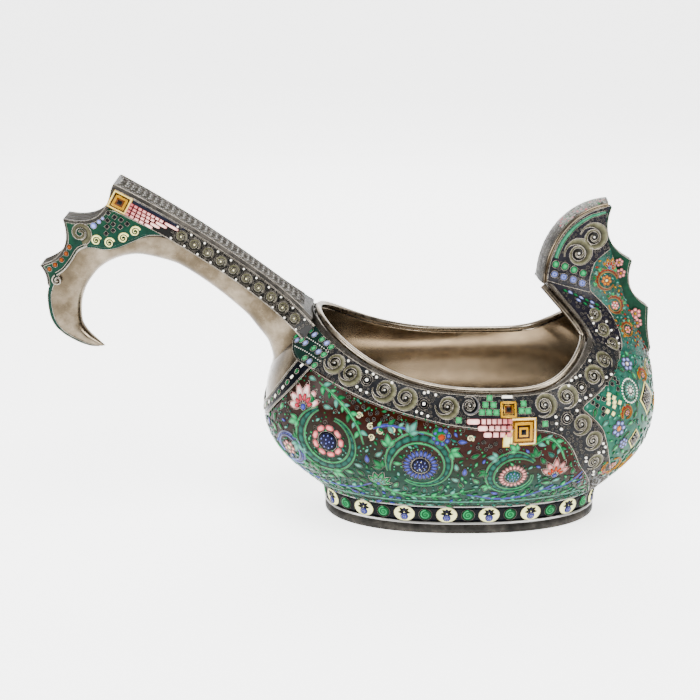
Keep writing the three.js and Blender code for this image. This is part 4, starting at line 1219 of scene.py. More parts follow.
# A flower of rounded petals round a boss
def rosette(piece, surface, place, radius, petals, edge, heart, boss, boss_heart, start=0.0, inner=0.3):
    middle = radius * (1 + inner) / 2
    breadth = math.pi * middle / petals * 1.02
    for i in range(petals):
        angle = start + 2 * math.pi * i / petals
        flat = circle(breadth, 10, radius * (1 - inner) / 2 / breadth) + np.array([middle, 0])
        cell(piece, surface, place, turned(flat, angle), edge, heart, 0.45, outline="grain", waist=.7)
    cell(piece, surface, place, circle(radius * inner, 12), boss, boss_heart, 0.5, outline="fine")
    if radius * inner > 2.4:
        for spot in np.concatenate([circle(radius * inner * .62, 9), circle(radius * inner * .22, 3)]):
            cell(piece, surface, place, circle(.42, 6) + spot, LILAC, SKY, .85)


def leaf(piece, surface, place, length, width, angle, edge, heart):
    cell(piece, surface, place, turned(leaf_outline(length, width), angle), edge, heart)


# A fan of petals from one place, each with a darker petal laid in it
def palmette(piece, surface, place, length, width, petals, middle, spread, edge, heart, inner_edge,
             inner_heart):
    for i in range(petals):
        share = i / (petals - 1)
        reach = length * (1 - .28 * abs(2 * share - 1))
        angle = middle + spread * (share - .5)
        for size, low, colours in ((1, 0, (edge, heart)), (.55, .3, (inner_edge, inner_heart))):
            flat = turned(leaf_outline(reach * size, width * size, 14) + np.array([length * .14, 0]), angle)
            cell(piece, surface, place, flat, *colours, .4, BED + low, "fine", .7)
    cell(piece, surface, place, circle(length * .15, 10), INDIGO, LILAC, .6, outline="fine")


# Three leaves that spread from one root
def spray(piece, surface, place, root, length, angle, colours):
    for turn, size in ((-.75, .75), (.75, .75), (0, 1)):
        shape = turned(leaf_outline(length * size, length * size * .52), angle + turn) + root
        cell(piece, surface, place, shape, *colours, .45, outline="grain")


# Squares of enamel nested in one another between gilt wires
def nested_square(piece, surface, place, width, height, colours, lift=BED):
    for i, colour in enumerate(colours):
        share = 1 - i / (len(colours) + .3)
        flat = block(width * share, height * share)
        cell(piece, surface, place, flat, colour, colour, 0.2 + 0.12 * i, lift, "gold" if i < 3 else None, .94)


# The flat line moved sideways
def beside(flat, distance):
    ahead = unit(np.gradient(flat, axis=0))
    return flat + np.stack([ahead[:, 1], -ahead[:, 0]], axis=-1) * np.asarray(distance)[..., None]


GREENS = ((LEAF_DEEP, LEAF_GREEN), (SEA_DEEP, SEA_LIGHT), (LEAF_DEEP, LEAF_LIGHT), (SEA_DEEP, SEA))
VOLUTE_TURNS = .9
VOLUTE_CORE = .74


# A volute: a ribbed scroll between two bright strokes, with sprays of leaves along its outside
def volute(piece, surface, place, radius, start, hand, width=6.0, leaves=5,
           pale=(SEA_DEEP, SEA, SEA_DEEP), bright=(LEAF_DEEP, LEAF_LIGHT, LEAF_GREEN)):
    flat = coil(radius, VOLUTE_TURNS, start, hand, VOLUTE_CORE, 64)
    taper = np.interp(np.linspace(0, 1, len(flat)), [0, .12, .35, 1], [.25, .8, 1, .2])
    ribbon(piece, surface, place, flat, width * .7 * taper, pale, 0.35, ribs=0.75, outline=None)
    for side in (1, -1):
        edge = beside(flat, side * width * .44 * taper)
        ribbon(piece, surface, place, edge, width * .22 * np.maximum(taper, .5), bright, 0.5, outline="grain")
    for i in range(leaves):
        k = int((0.03 + 0.6 * i / leaves) * len(flat))
        ahead = flat[k + 1] - flat[k]
        angle = math.atan2(ahead[1], ahead[0]) - hand * 0.75
        root = flat[k] * (1 + width * .42 / radius)
        spray(piece, surface, place, root, radius * .46, angle, GREENS[(0, 2, 1)[i % 3]])


def smooth_path(rows, count):
    rows = np.asarray(rows, float)
    knots = np.concatenate([[0], np.cumsum(np.linalg.norm(np.diff(rows, axis=0), axis=1))])
    marks = np.linspace(0, knots[-1], count)
    return np.stack([read_table(list(zip(knots, rows[:, 0])), marks),
                     read_table(list(zip(knots, rows[:, 1])), marks)], axis=-1)


# Turn shares become places along the hull's surface, which runs forward
def hull_path(rows, count=60):
    path = smooth_path(rows, count)
    return np.stack([1 - path[:, 0], path[:, 1]], axis=-1)


def hull_place(turn, rise):
    return 1 - turn, rise


# Draws one ornament at each row's place; the rest of a row is what sets that one apart
def repeat(draw, piece, surface, rows, **looks):
    for first, rise, *own in rows:
        place = hull_place(first, rise) if surface is HULL else (first, rise)
        draw(piece, surface, place, *own, **looks)


# Free places in an area, with a gap round everything that is laid already
def free_places(surface, area, tries, radius):
    shares = np.array([(random.random(), random.random()) for _ in range(tries)])
    u, v = area(shares[:, 0], shares[:, 1])
    points = surface.at(u, v)
    near = [(spot, gap) for spot, gap in TAKEN if np.abs(spot - points.mean(axis=0)).max() < 110]
    spots = np.array([spot for spot, _ in near])
    gaps = np.array([gap for _, gap in near])
    places = []
    for a, b, spot in zip(u, v, points):
        if np.all(np.linalg.norm(spots - spot, axis=1) > gaps + radius):
            places.append((a, b))
            spots = np.vstack([spots, spot])
            gaps = np.append(gaps, radius)
    return places


def fill_curls(piece, surface, area, tries, radius, lift=BED):
    for i, place in enumerate(free_places(surface, area, tries, radius)):
        flat = coil(radius, 1.4, i * 2.1, 1 if i % 2 else -1, .12, 9)
        wire(piece, "grain", surface.on(place, flat, lift + .08))
        take(surface.at(*place)[None], radius)


# Collar: coiled shells, eyes, pearls and tiles on a dark ground

COLLAR_AMMONITES = [
    (.7668, .903, 5.6, 3.3), (.721, .893, 5.9, 3.2), (.6438, .88, 6.0, 3.2), (.6023, .862, 6.0, 3.2),
    (.5322, .832, 5.8, 3.1), (.3791, .838, 5.9, 4.0), (.3233, .868, 5.8, 4.1), (.2332, .888, 5.6, 4.4),
    (.185, .893, 5.0, 4.6), (.3219, .584, 5.4, 3.7), (.2976, .464, 5.2, 3.8), (.281, .33, 4.8, 4.0)]
COLLAR_EYES = [(.6853, .905), (.5694, .837), (.2804, .877), (.3476, .662)]
COLLAR_PEARLS = [
    (.6967, .955), (.6824, .96), (.6724, .95), (.6938, .835), (.6838, .822), (.671, .82), (.5765, .945),
    (.5708, .96), (.5565, .945), (.5765, .752), (.568, .742), (.5579, .722), (.2833, .96), (.269, .955),
    (.2575, .945), (.3062, .792), (.2904, .792), (.2775, .792), (.3677, .694), (.3691, .627), (.3619, .571),
    (.3233, .714), (.3062, .371), (.3033, .346), (.279, .39), (.2675, .389), (.2732, .439), (.2661, .416),
    (.745, .955), (.64, .955), (.21, .955), (.2, .82), (.215, .83), (.3, .94), (.268, .25), (.262, .22)]
GREEN_TILES = [
    (.4721, .952), (.4793, .872), (.4678, .872), (.485, .787), (.475, .787), (.4649, .784), (.4206, .88),
    (.4263, .797), (.4149, .792), (.5136, .697), (.3891, .637)]


def dress_collar():
    repeat(ammonite, "collar_scrolls", HULL, COLLAR_AMMONITES)
    repeat(eye, "collar_scrolls", HULL, COLLAR_EYES, radius=2.9)
    ammonite("collar_scrolls", HULL, hull_place(.5007, .855), 4.6, 2.2, -1, (tone("6d6d70"), INK, INK))
    repeat(pearl, "collar_pearls", HULL, COLLAR_PEARLS, radius=0.72)
    repeat(cell, "collar_tiles", HULL, GREEN_TILES, flat=block(2.9, 2.9), edge=LEAF_GREEN,
           heart=LEAF_LIGHT, outline="fine", waist=.85)
    cell("collar_tiles", HULL, hull_place(.449, .968), block(5.5, 1.5), PEARL, PEARL, outline="fine")
    nested_square("collar_tiles", HULL, hull_place(.4478, .815), 7.3, 7.2,
                  [AMBER_LIGHT, EARTH, AMBER_DEEP, INK])
    cell("collar_tiles", HULL, hull_place(.4435, .515), block(6, 6) + np.array([-1, -1.2]), CREAM_DEEP,
         CREAM_LIGHT, .15, outline="gold", waist=.95)
    nested_square("collar_tiles", HULL, hull_place(.4255, .572), 12.2, 13,
                  [mix(CREAM_LIGHT, PINK_LIGHT, .4), AMBER_DEEP, AMBER_LIGHT, EARTH, AMBER_LIGHT, INK])
    brick_rows("collar_tiles", HULL, hull_place(.4755, .615), 22, 3.1, (0, 5.2, 8.0), 7)


# Rows of pink bricks that step back from a square, with dark red joints between them; the bricks
# grow paler away from the square, and the last is a long rounded one
def brick_rows(piece, surface, place, length, height, steps, count, lift=BED):
    for row, step in enumerate(steps):
        run = length - step
        bricks = max(round(count * run / length), 3)
        shares = np.concatenate([np.linspace(0, .68, bricks), [1]])
        level = (len(steps) / 2 - .5 - row) * height
        joint = block(run, height, 16) + np.array([step / 2, level])
        cell(piece, surface, place, joint, CRIMSON * .5, CRIMSON * .5, .1, lift, waist=.97)
        for low, high in zip(shares[:-1], shares[1:]):
            width = (high - low) * run
            centre = np.array([length / 2 - mix(low, high, .5) * run, level])
            shade = mix(PINK_DEEP * .8, PINK_LIGHT, min(high * 1.1, 1))
            last = high == 1
            shape = pill(width * .92, height * .84) if last else block(width * .84, height * .8)
            cell(piece, surface, place, shape + centre, shade, mix(shade, PEARL, high * .6), lift=lift + .05)


# Borders: a silver wire along the edge of each enamel field, and a finer one beside it

def double_wire(path, fine, distance):
    path_wire("borders", "silver", HULL, path, BED + .12)
    path_wire("borders", fine, HULL, shifted(HULL, path, distance), BED + .05)


def dress_borders():
    low = [(t, r) for t, r in PANEL_LINE if t <= .8]
    double_wire(hull_path([(t, r) for r, t in LEAF_BACK] + low[1:], 170), "grain", .75)
    double_wire(hull_path([(t, r) for r, t in LEAF_FRONT + FRONT_LINE[1:]], 120), "grain", .75)
    diagonals = ((DIAGONAL_LOW, DIAGONAL_LOW_TURN, -.7), (DIAGONAL_HIGH, DIAGONAL_HIGH_TURN, .7))
    for rows, from_turn, off in diagonals:
        double_wire(hull_path([(mix(from_turn, 1, share), rise) for share, rise in rows], 50), "fine", off)
    bead_wire("borders", HULL, level_path(.008, 400), .42, .9)


# A level line all round half of the piece
def level_path(rise, count):
    return np.stack([np.linspace(0, 1, count), np.full(count, rise)], axis=-1)


# The same path moved sideways by a distance on the surface
def shifted(surface, path, distance):
    points = surface.at(path[:, 0], path[:, 1])
    moved = []
    for place, ahead in zip(path, unit(np.gradient(points, axis=0))):
        _, _, across, up = surface.axes(place)
        moved.append(surface.offset(*place, -(ahead @ up) * distance, (ahead @ across) * distance))
    return np.clip(np.array(moved), 0, 1)


# Diagonal band: green ovals and white bars between two wires; and the lobe of ovals at the handle's root

LOBE_OVALS = [
    (.922, .925, 1), (.906, .925, 0), (.8913, .942, 1), (.8684, .945, 0), (.8383, .955, 1), (.8197, .958, 0),
    (.8026, .958, 1), (.9213, .875, 1), (.905, .868, 0), (.8898, .885, 1), (.8712, .888, 0), (.8383, .897, 1),
    (.8197, .9, 0), (.8026, .905, 1), (.8398, .832, 1), (.8226, .832, 0), (.804, .83, 1)]
LOBE_LOW = [(.796, .815), (.83, .806), (.857, .802), (.885, .815), (.91, .838), (.935, .873), (.95, .93)]


def lobe_area(u, v):
    turn = mix(.95, .796, u)
    return 1 - turn, mix(read_table(LOBE_LOW, turn), .985, v)


def dress_diagonal():
    finish_pair(lambda sign: slab(HULL, lobe_area, BED + .03, .7, 30, 12, plain_tint(tone("0c1f1a")), sign),
                "lobe_ground", ENAMEL)
    middle = hull_path([(.8326, .813), (.8412, .731), (.8584, .648), (.8934, .564), (.96, .49), (1, .46)], 50)
    for i, place in enumerate(even_places(HULL, middle, 3.7)):
        flat = turned(circle(1.15, 10, 1.3), 1.2) if i % 2 else turned(block(2.1, 1.3), 1.2)
        edge, heart = (LEAF_DEEP, LEAF_GREEN) if i % 2 else (PEARL * .8, PEARL)
        cell("diagonal_cells", HULL, place, flat, edge, heart, .45, outline="fine")
    for turn, rise, green in LOBE_OVALS:
        edge, heart = (LEAF_DEEP, LEAF_LIGHT) if green else (INDIGO, SKY)
        flat = turned(circle(1.35, 10, 1.45), 1.1)
        cell("lobe_cells", HULL, hull_place(turn, rise), flat, edge, heart, .5, outline="fine")
    for rows in ([(.912, .9), (.8412, .925), (.7954, .932)], [(.9, .84), (.8426, .862), (.7954, .866)]):
        for place in even_places(HULL, hull_path(rows, 30), 1.5):
            pearl("lobe_cells", HULL, place, .3, PEARL * .5, PEARL * .8)
    path_wire("borders", "silver", HULL, hull_path(LOBE_LOW, 40), BED + .2)


# Side panel: scrolls of leaves and flowers, in the colours of the real panel and a layout of its own

# Turn, rise, radius, start, hand, width, leaves, tints
SIDE_VOLUTES = [
    (.725, .45, 16, 1.9, 1, 6.4), (.565, .36, 15.5, 3.4, -1, 6.0), (.435, .28, 12.5, .7, 1, 5.0),
    (.84, .35, 9, 4.4, 1, 3.6, 4, (INDIGO, LILAC * .6, INDIGO), (INDIGO, SKY * .8, LILAC)),
    (.94, .25, 8, 1.2, -1, 3.2, 4)]
# Turn, rise, radius, petals, edge, heart, boss, boss heart, start, share of the boss
SIDE_ROSETTES = [
    (.725, .45, 8.6, 9, PINK_DEEP, mix(PINK_LIGHT, RUST, .2), INK, INDIGO, 0, .6),
    (.565, .36, 8.8, 22, INK, LILAC, INK, INDIGO, .1, .5),
    (.565, .36, 3.2, 6, AMBER_DEEP, CREAM_LIGHT, CRIMSON, CRIMSON, .4),
    (.435, .28, 7.2, 20, CRIMSON, PINK_LIGHT, SEA_DEEP, SEA, .3, .55),
    (.435, .28, 2.8, 5, RUST, AMBER_LIGHT, INDIGO, LILAC, .3),
    (.535, .53, 4.8, 8, INDIGO, LILAC, AMBER_DEEP, RUST, .2, .4),
    (.84, .35, 4.4, 7, CRIMSON, PINK_LIGHT, AMBER_DEEP, CREAM_LIGHT),
    (.94, .25, 3.8, 7, PINK_DEEP, PINK_LIGHT, INDIGO, LILAC)]
# Turn, rise, length, width, petals, middle angle, spread, tints
SIDE_PALMETTES = [
    (.785, .60, 11.5, 4.6, 6, 1.9, 2.7, PINK_DEEP, PEARL, CRIMSON, PINK_DEEP * 1.3),
    (.36, .27, 10, 3.8, 5, 1.6, 2.0, CRIMSON, PINK_LIGHT, EARTH, RUST * 1.5),
    (.645, .20, 8, 3.2, 5, 1.2, 2.2, LEAF_DEEP, LEAF_LIGHT, SEA_DEEP, SEA_LIGHT)]
SIDE_BLACK_CURLS = [
    (.6853, .722), (.6638, .708), (.6481, .672), (.6381, .69), (.6266, .64), (.6123, .655), (.6009, .625),
    (.5908, .64), (.6409, .635), (.6509, .62), (.675, .69), (.58, .62), (.6225, .675), (.4907, .469),
    (.4835, .492), (.4793, .459), (.4735, .475), (.4592, .451), (.4506, .43), (.4449, .455), (.4664, .485)]
SIDE_CREAM_CURLS = [(.667, .64), (.644, .575), (.6266, .55), (.608, .57), (.642, .50), (.4993, .52)]
SIDE_STEMS = [
    [(.9, .3), (.86, .17), (.79, .12), (.71, .13), (.66, .19)],
    [(.66, .22), (.61, .11), (.54, .10), (.49, .17)],
    [(.5, .12), (.45, .075), (.39, .10), (.35, .18)],
    [(.77, .765), (.735, .735), (.7, .68), (.67, .58), (.655, .46)],
    [(.64, .56), (.615, .6), (.585, .585), (.56, .55)],
    [(.41, .47), (.385, .5), (.365, .46), (.35, .38)],
    [(.36, .14), (.33, .15), (.31, .2), (.3, .27)]]


def dress_side():
    name = "side_scrolls"
    repeat(volute, name, HULL, SIDE_VOLUTES)
    repeat(rosette, name, HULL, SIDE_ROSETTES)
    repeat(palmette, name, HULL, SIDE_PALMETTES)
    for i, row in enumerate(SIDE_BLACK_CURLS):
        place = hull_place(*row)
        cell(name, HULL, place, circle(1.25, 10), INK, INK, .25)
        wire(name + "_wires", "grain", HULL.on(place, coil(1.2, 1.5, i * 1.3, 1, .14, 10), BED + .32))
    for i, row in enumerate(SIDE_CREAM_CURLS):
        curl(name, HULL, hull_place(*row), 2.0, i * 1.1)
    for i, rows in enumerate(SIDE_STEMS):
        path = hull_path(rows, 46)
        widths = np.interp(np.linspace(0, 1, 46), [0, .3, 1], [.6, 2.2, .8])
        tints = ((INDIGO, LILAC, INDIGO), (LEAF_DEEP, LEAF_LIGHT, LEAF_DEEP))[i % 2]
        path_ribbon(name, HULL, path, widths, tints, .45, .2)
        sprig(name, HULL, path, 4.6, 5.2, i)
    fill_side(name)


# Pairs of leaves along a path, one on each side of it
def sprig(piece, surface, path, pitch, length, shift=0):
    places = even_places(surface, path, pitch)
    for j, (near, far) in enumerate(zip(places[:-1], places[1:])):
        angle = heading(surface, near, far)
        for side in (1, -1):
            reach = length * (.75 + .25 * ((j + shift) % 2))
            leaf(piece, surface, near, reach, reach * .52, angle + side * .8, *GREENS[(j + shift + side) % 3])


def heading(surface, near, far):
    _, _, along, up = surface.axes(near)
    step = surface.at(*far) - surface.at(*near)
    return math.atan2(step @ up, step @ along)


# A leaf centred on a place; the larger ones have a wire round them
def small_leaf(piece, surface, place, size, angle, colours):
    flat = turned(leaf_outline(size, size * .5) - np.array([size / 2, 0]), angle)
    cell(piece, surface, place, flat, *colours, .35, outline="grain" if size > 4 else None)


# A ribbon along the foot of the panel, then leaves, curls and dots wherever there is room
def fill_side(name):
    low = hull_path([(.99, .055), (.8, .05), (.6, .045), (.4, .05), (.25, .07)], 160)
    path_ribbon(name, HULL, low, 1.6, (SEA, SEA_LIGHT, SEA), .3, .3)
    for pitch, size in ((2.3, 5.0), (1.45, 3.2)):
        for i, place in enumerate(free_places(HULL, side_area, 2600, pitch)):
            turn, rise = 1 - place[0], place[1]
            angle = 1.3 * math.sin(turn * 19) + 2.2 * math.sin(rise * 7) + (i % 2) * .9
            if rise > .5 and i % 3 and size < 4:
                wire(name + "_wires", "grain", HULL.on(place, coil(1.35, 1.5, angle, 1, .12, 10), BED + .1))
            else:
                small_leaf(name, HULL, place, size, angle, GREENS[i % 4] if i % 7 else (INDIGO, LILAC))
    for i, place in enumerate(free_places(HULL, side_area, 3000, .8)):
        pearl(name, HULL, place, .55, INK, GREENS[i % 4][1], .3)


# Front panel: tiles, lozenges, small flowers and gilt scrolls on sea green

FRONT_CREAM_TILES = [
    (.2389, .734), (.2318, .699), (.2232, .652), (.2504, .682), (.2403, .645), (.2604, .63), (.2480, .60),
    (.245, .71), (.2355, .67)]
FRONT_DARK_TILES = [
    (.2561, .724), (.2775, .699), (.2675, .659), (.2146, .777), (.2003, .759), (.2103, .73), (.266, .75),
    (.283, .735), (.272, .62), (.2, .79), (.225, .80)]
FRONT_ROSETTES = [
    (.2355, .495, 4.4, 7, INDIGO, SKY, RUST, AMBER_LIGHT),
    (.1302, .835, 3.8, 6, INDIGO, SKY, CRIMSON, PEARL, .3),
    (.215, .41, 3.0, 6, INDIGO, SKY, INDIGO, SKY, .5),
    (.1817, .675, 4.6, 12, SEA_DEEP, SEA_LIGHT, LEAF_DEEP, PEARL)]
FRONT_LOZENGES = [(.12, .6, 17), (.0358, .86, 9), (.175, .41, 11), (.045, .33, 11)]
FRONT_VOLUTES = [
    (.215, .26, 6, 1), (.13, .22, 6, -1), (.06, .16, 5, 1), (.21, .57, 3.4, -1), (.05, .55, 4.4, 1),
    (.095, .76, 3.4, -1)]
GILT_STROKES = {"pale": (AMBER_DEEP, RUST, AMBER_DEEP), "bright": (AMBER_DEEP, AMBER_LIGHT, AMBER_DEEP)}
DIAMOND_TURN = .785


def diamond(size):
    return turned(block(size, size), DIAMOND_TURN)


def dress_front():
    name = "front_cells"
    repeat(cell, name, HULL, FRONT_CREAM_TILES, flat=diamond(2.1), edge=CREAM_DEEP, heart=CREAM_LIGHT,
           outline="fine")
    repeat(cell, name, HULL, FRONT_DARK_TILES, flat=diamond(1.9), edge=INK, heart=INK, height=.35,
           outline="fine")
    repeat(rosette, name, HULL, FRONT_ROSETTES)
    for radius, count in ((5.6, 26), (2.2, 10)):
        for flat in circle(radius, count):
            cell(name, HULL, hull_place(.1817, .675), circle(.42, 6) + flat, PEARL, PEARL, .5)
    repeat(lozenge, name, HULL, FRONT_LOZENGES)
    for turn, rise, radius, hand in FRONT_VOLUTES:
        place = hull_place(turn, rise)
        volute(name, HULL, place, radius, 2.5 * hand, hand, leaves=4, width=2.4, **GILT_STROKES)
        rosette(name, HULL, place, radius * .42, 6, CRIMSON, PINK_LIGHT, AMBER_DEEP, AMBER_LIGHT)
    for pitch, size in ((2.2, 4.6), (1.3, 2.8)):
        for i, place in enumerate(free_places(HULL, front_area, 1500, pitch)):
            angle = 1.5 * math.sin(place[0] * 23) + 2.4 * math.sin(place[1] * 9) + (i % 2)
            small_leaf(name, HULL, place, size, angle, GREENS[i % 4])


# A cream frame round a dark field with rows of curls and pearls
def lozenge(piece, surface, place, size):
    squeeze = np.array([.86, 1])
    flat = turned(block(size * .72, size * .72, 16), DIAMOND_TURN) * squeeze
    cell(piece, surface, place, flat, CREAM_DEEP, CREAM_LIGHT, .2, outline="grain", waist=.97)
    cell(piece, surface, place, flat * .86, INK, tone("15181c"), .28, waist=.95)
    count = max(int(size / 3), 3)
    for i in range(count):
        for j in range(count):
            spot = np.array([[i - (count - 1) / 2, j - (count - 1) / 2]]) * size * .56 / count
            spot = turned(spot, DIAMOND_TURN) * squeeze
            if (i + j) % 3:
                twist = coil(.85, 1.3, i * 2.1 + j, 1, .15, 9) + spot
                wire(piece + "_wires", "fine", surface.on(place, twist, BED + .42))
            else:
                cell(piece, surface, place, circle(.42, 6) + spot, PEARL * .4, PEARL * .8, .6)


# Head: coiled shells, discs, a spindle and an ogival field of gilt leaves

HEAD_AMMONITES = [
    (.375, .612, 7.4, 3.7, -1), (.60, .752, 7.2, 3.4, -1), (.377, .238, 4.0, 3.4), (.345, .13, 4.0, 3.4),
    (.38, .03, 4.0, 3.4)]
HEAD_GREEN_DISCS = [(.085, .51), (.214, .511), (.345, .506), (.475, .499)]
HEAD_BLUE_DISCS = [(.092, .452), (.214, .448), (.339, .445), (.455, .437)]
HEAD_PEARLS = [(.2, .10), (.235, .16), (.27, .2), (.50, .2), (.49, .14), (.52, .09), (.5, .05)]
HEAD_LEAVES = [
    (.16, .375), (.215, .37), (.27, .36), (.325, .348), (.385, .338), (.445, .33), (.5, .32), (.25, .325),
    (.32, .31), (.39, .298), (.46, .29)]


def dress_head():
    name = "head_cells"
    disc = circle(1.95, 14)
    repeat(ammonite, name, CHEEK, HEAD_AMMONITES)
    repeat(cell, name, CHEEK, HEAD_GREEN_DISCS, flat=disc, edge=LEAF_DEEP, heart=LEAF_LIGHT, height=.55,
           outline="fine")
    repeat(cell, name, CHEEK, HEAD_BLUE_DISCS, flat=disc, edge=INDIGO, heart=mix(LILAC, SKY, .7), height=.55,
           outline="fine")
    repeat(pearl, name, CHEEK, HEAD_BLUE_DISCS, radius=.55, edge=INDIGO, heart=LILAC, height=.85)
    repeat(pearl, name, CHEEK, HEAD_PEARLS, radius=.62)
    for i, place in enumerate(HEAD_LEAVES):
        leaf(name, CHEEK, place, 3.2, 1.4, -.4, *((INDIGO, SKY) if i % 2 else (LEAF_DEEP, LEAF_GREEN)))
    dress_head_arc(name)
    dress_head_field(name)
    for size in (1.15, .7):
        fill_curls(name + "_wires", CHEEK, window((.12, 1), (0, .97)), 1200, size)


# The green arc under the crown, with the wires along the head's back and bottom
def dress_head_arc(name):
    rises = np.linspace(.545, .955, 60)
    forward = np.interp(rises, [.545, .65, .75, .82, .88, .937, .955], [.062, .062, .09, .14, .22, .5, .72])
    widths = np.interp(np.linspace(0, 1, 60), [0, .4, 1], [2.4, 2.4, 1.6])
    path_ribbon(name, CHEEK, np.stack([forward, rises], axis=-1), widths,
                (LEAF_GREEN, mix(LEAF_GREEN, SEA_LIGHT, .4), LEAF_DEEP), .5, 0, "fine")
    path_wire(name + "_wires", "silver", CHEEK, straight_path((.012, .4), (.012, .985), 60), 1.1)
    path_wire(name + "_wires", "silver", CHEEK, straight_path((.02, .408), (.53, .392), 30), BED + .2)


def straight_path(start, end, count):
    return np.linspace(start, end, count)


# The ogival field: a bowed wire on its left, the cusped blade on its right
FIELD_LEFT = [
    (.484, 0), (.535, .04), (.588, .093), (.632, .155), (.655, .228), (.655, .293), (.601, .353),
    (.551, .406), (.561, .466), (.605, .534), (.653, .592), (.786, .654), (.99, .725)]
FIELD_VOLUTES = [
    (.8, .49, 5.6, .4, 1, 2.4, 8), (.8, .33, 4.6, 2.6, -1, 2.0, 7), (.8, .17, 4.0, .6, 1, 1.7, 6)]
FIELD_ROSETTES = [
    (.8, .49, 2.8, 7, RUST, AMBER_LIGHT, EARTH, CREAM_LIGHT),
    (.8, .33, 2.3, 6, PINK_DEEP, PINK_LIGHT, CRIMSON, PEARL),
    (.8, .17, 2.0, 6, PINK_DEEP, PINK_LIGHT, CRIMSON, AMBER_LIGHT)]
FIELD_LEAVES = ((AMBER_DEEP, AMBER_LIGHT), (EARTH, RUST), (SEA_DEEP, SEA_LIGHT))


def dress_head_field(name):
    left = smooth_path(FIELD_LEFT, 80)
    rows = [CHEEK.at(mix(left[:, 0], .995, t), left[:, 1], BED + .12) for t in np.linspace(0, 1, 8)]
    waves = np.clip(.5 + .5 * np.sin(np.arange(80) * .25), 0, 1)[:, None, None]
    shade = np.broadcast_to(mix(tone("0a382c"), tone("255046"), waves), (80, 8, 4))
    RIBBONS.setdefault("head_field", []).append((to_frame(np.stack(rows, axis=1)), shade))
    path_wire(name + "_wires", "silver", CHEEK, left, BED + .25)
    gilt = {"pale": (AMBER_DEEP, RUST * .8, AMBER_DEEP), "bright": GILT_STROKES["bright"]}
    repeat(volute, name, CHEEK, FIELD_VOLUTES, **gilt)
    repeat(rosette, name, CHEEK, FIELD_ROSETTES)
    palmette(name, CHEEK, (.88, .585), 5.4, 2.2, 5, 1.5, 2.6, AMBER_DEEP, AMBER_LIGHT, EARTH, RUST)
    places = free_places(CHEEK, window((.66, 1), (.05, .62)), 260, .95)
    for i, place in enumerate(places):
        shape = turned(leaf_outline(2.0, 1.0) - np.array([1, 0]), random.random() * 6.3)
        cell(name, CHEEK, place, shape, *FIELD_LEAVES[i % 3], .35, BED + .1)


# The blade's flank, in front of the cheeks: a green edge with silver wires and pink flowers

def blade_flank(u, v):
    z = mix(PROW_TOP, PROW_LOW, v)
    at = mix(point(keel_x(z) - 1, 0, z), blade_front(v), u[..., None])
    return point(at[..., 0], BLADE_HALF, at[..., 2])


# A flat upright plane beside the blade, for the flowers
PLANE_BACK, PLANE_FRONT = 60, 100


def blade_plane(u, v):
    return point(mix(PLANE_BACK, PLANE_FRONT, u), BLADE_HALF, mix(PROW_LOW, PROW_TOP, v))


FLANK = Surface(blade_flank, 20, 160)
BLADE_SIDE = Surface(blade_plane, 40, 76)


def dress_blade():
    name = "blade_cells"
    for share, style in ((1, "silver"), (.93, "fine")):
        line = FLANK.at(share, np.linspace(0, .985, 160), .05)
        line[:, 1] = BLADE_HALF + .05
        wire(name + "_wires", style, line)
    for v, size in ((.3, 2.2), (.36, 2.6), (.62, 3.0), (.68, 2.6)):
        spot = FLANK.at(.5, v)
        place = ((spot[0] - PLANE_BACK) / (PLANE_FRONT - PLANE_BACK),
                 (spot[2] - PROW_LOW) / (PROW_TOP - PROW_LOW))
        rosette(name, BLADE_SIDE, place, size, 6, PINK_DEEP, PINK_LIGHT, CRIMSON, AMBER_LIGHT, v)


# Handle: spirals and pearls along the side bands, bricks and a nested square near the hook

BAND_BACK = -.03


def band_point(u, v):
    return handle_point(mix(BAND_BACK, 1, u), BAND_TOP + v * (BAND_BOTTOM - BAND_TOP))


BAND_SIDE = Surface(band_point, 200, 12)


def band_place(run, depth):
    return (run - BAND_BACK) / (1 - BAND_BACK), depth


def dress_band():
    name = "band_cells"
    spirals = np.linspace(.048, .648, 10)
    ground(name, BAND_SIDE, (0, .985), (.0, 1), tone("0e0e0c"))
    flat = coil(2.7, 1.5, 2.8, 1, .2, 18)
    swell = np.interp(np.linspace(0, 1, len(flat)), [0, .25, 1], [.3, 1.4, .3])
    for run in spirals:
        place = band_place(run, .54)
        cell(name, BAND_SIDE, place, circle(3.2, 16), tone("100f08"), tone("1d1c0f"), .2, .05, "grain")
        ribbon(name, BAND_SIDE, place, flat, swell, (OLIVE_LIGHT, OLIVE_MID, OLIVE_DEEP), .35, .12,
               outline="fine")
        pearl(name, BAND_SIDE, place, .5, CREAM_DEEP, PEARL, .9, .1)
    step = spirals[1] - spirals[0]
    for run in np.append(spirals, spirals[-1] + step) - step / 2:
        for depth in (.17, .9):
            pearl(name, BAND_SIDE, band_place(run, depth), .58, lift=.1)
    runs = np.linspace(.0, .985, 120)
    for depth, style, stop in ((.0, "silver", 1), (.06, "fine", 1), (.97, "fine", .75), (1, "silver", .92)):
        wire(name + "_wires", style, BAND_SIDE.at(runs[runs < stop], depth, .15))
    for size in (1.0, .7):
        for area, tries in ((window((0, .05), (.1, .95)), 120), (window((.05, .7), (.12, .92)), 900)):
            fill_curls(name + "_filling", BAND_SIDE, area, tries, size, lift=.1)
    brick_rows(name, BAND_SIDE, band_place(.785, .64), 27, 1.75, (11.5, 8.5, 5.5, 0), 9, .1)
    nested_square(name, BAND_SIDE, band_place(.942, .52), 9.8, 9.0,
                  [mix(CREAM_LIGHT, AMBER_LIGHT, .4), EARTH, AMBER_LIGHT * .7, AMBER_DEEP, INK], .1)
    ground(name, BAND_SIDE, (.66, .91), (.02, .24), tone("0b0e1c"), .2)


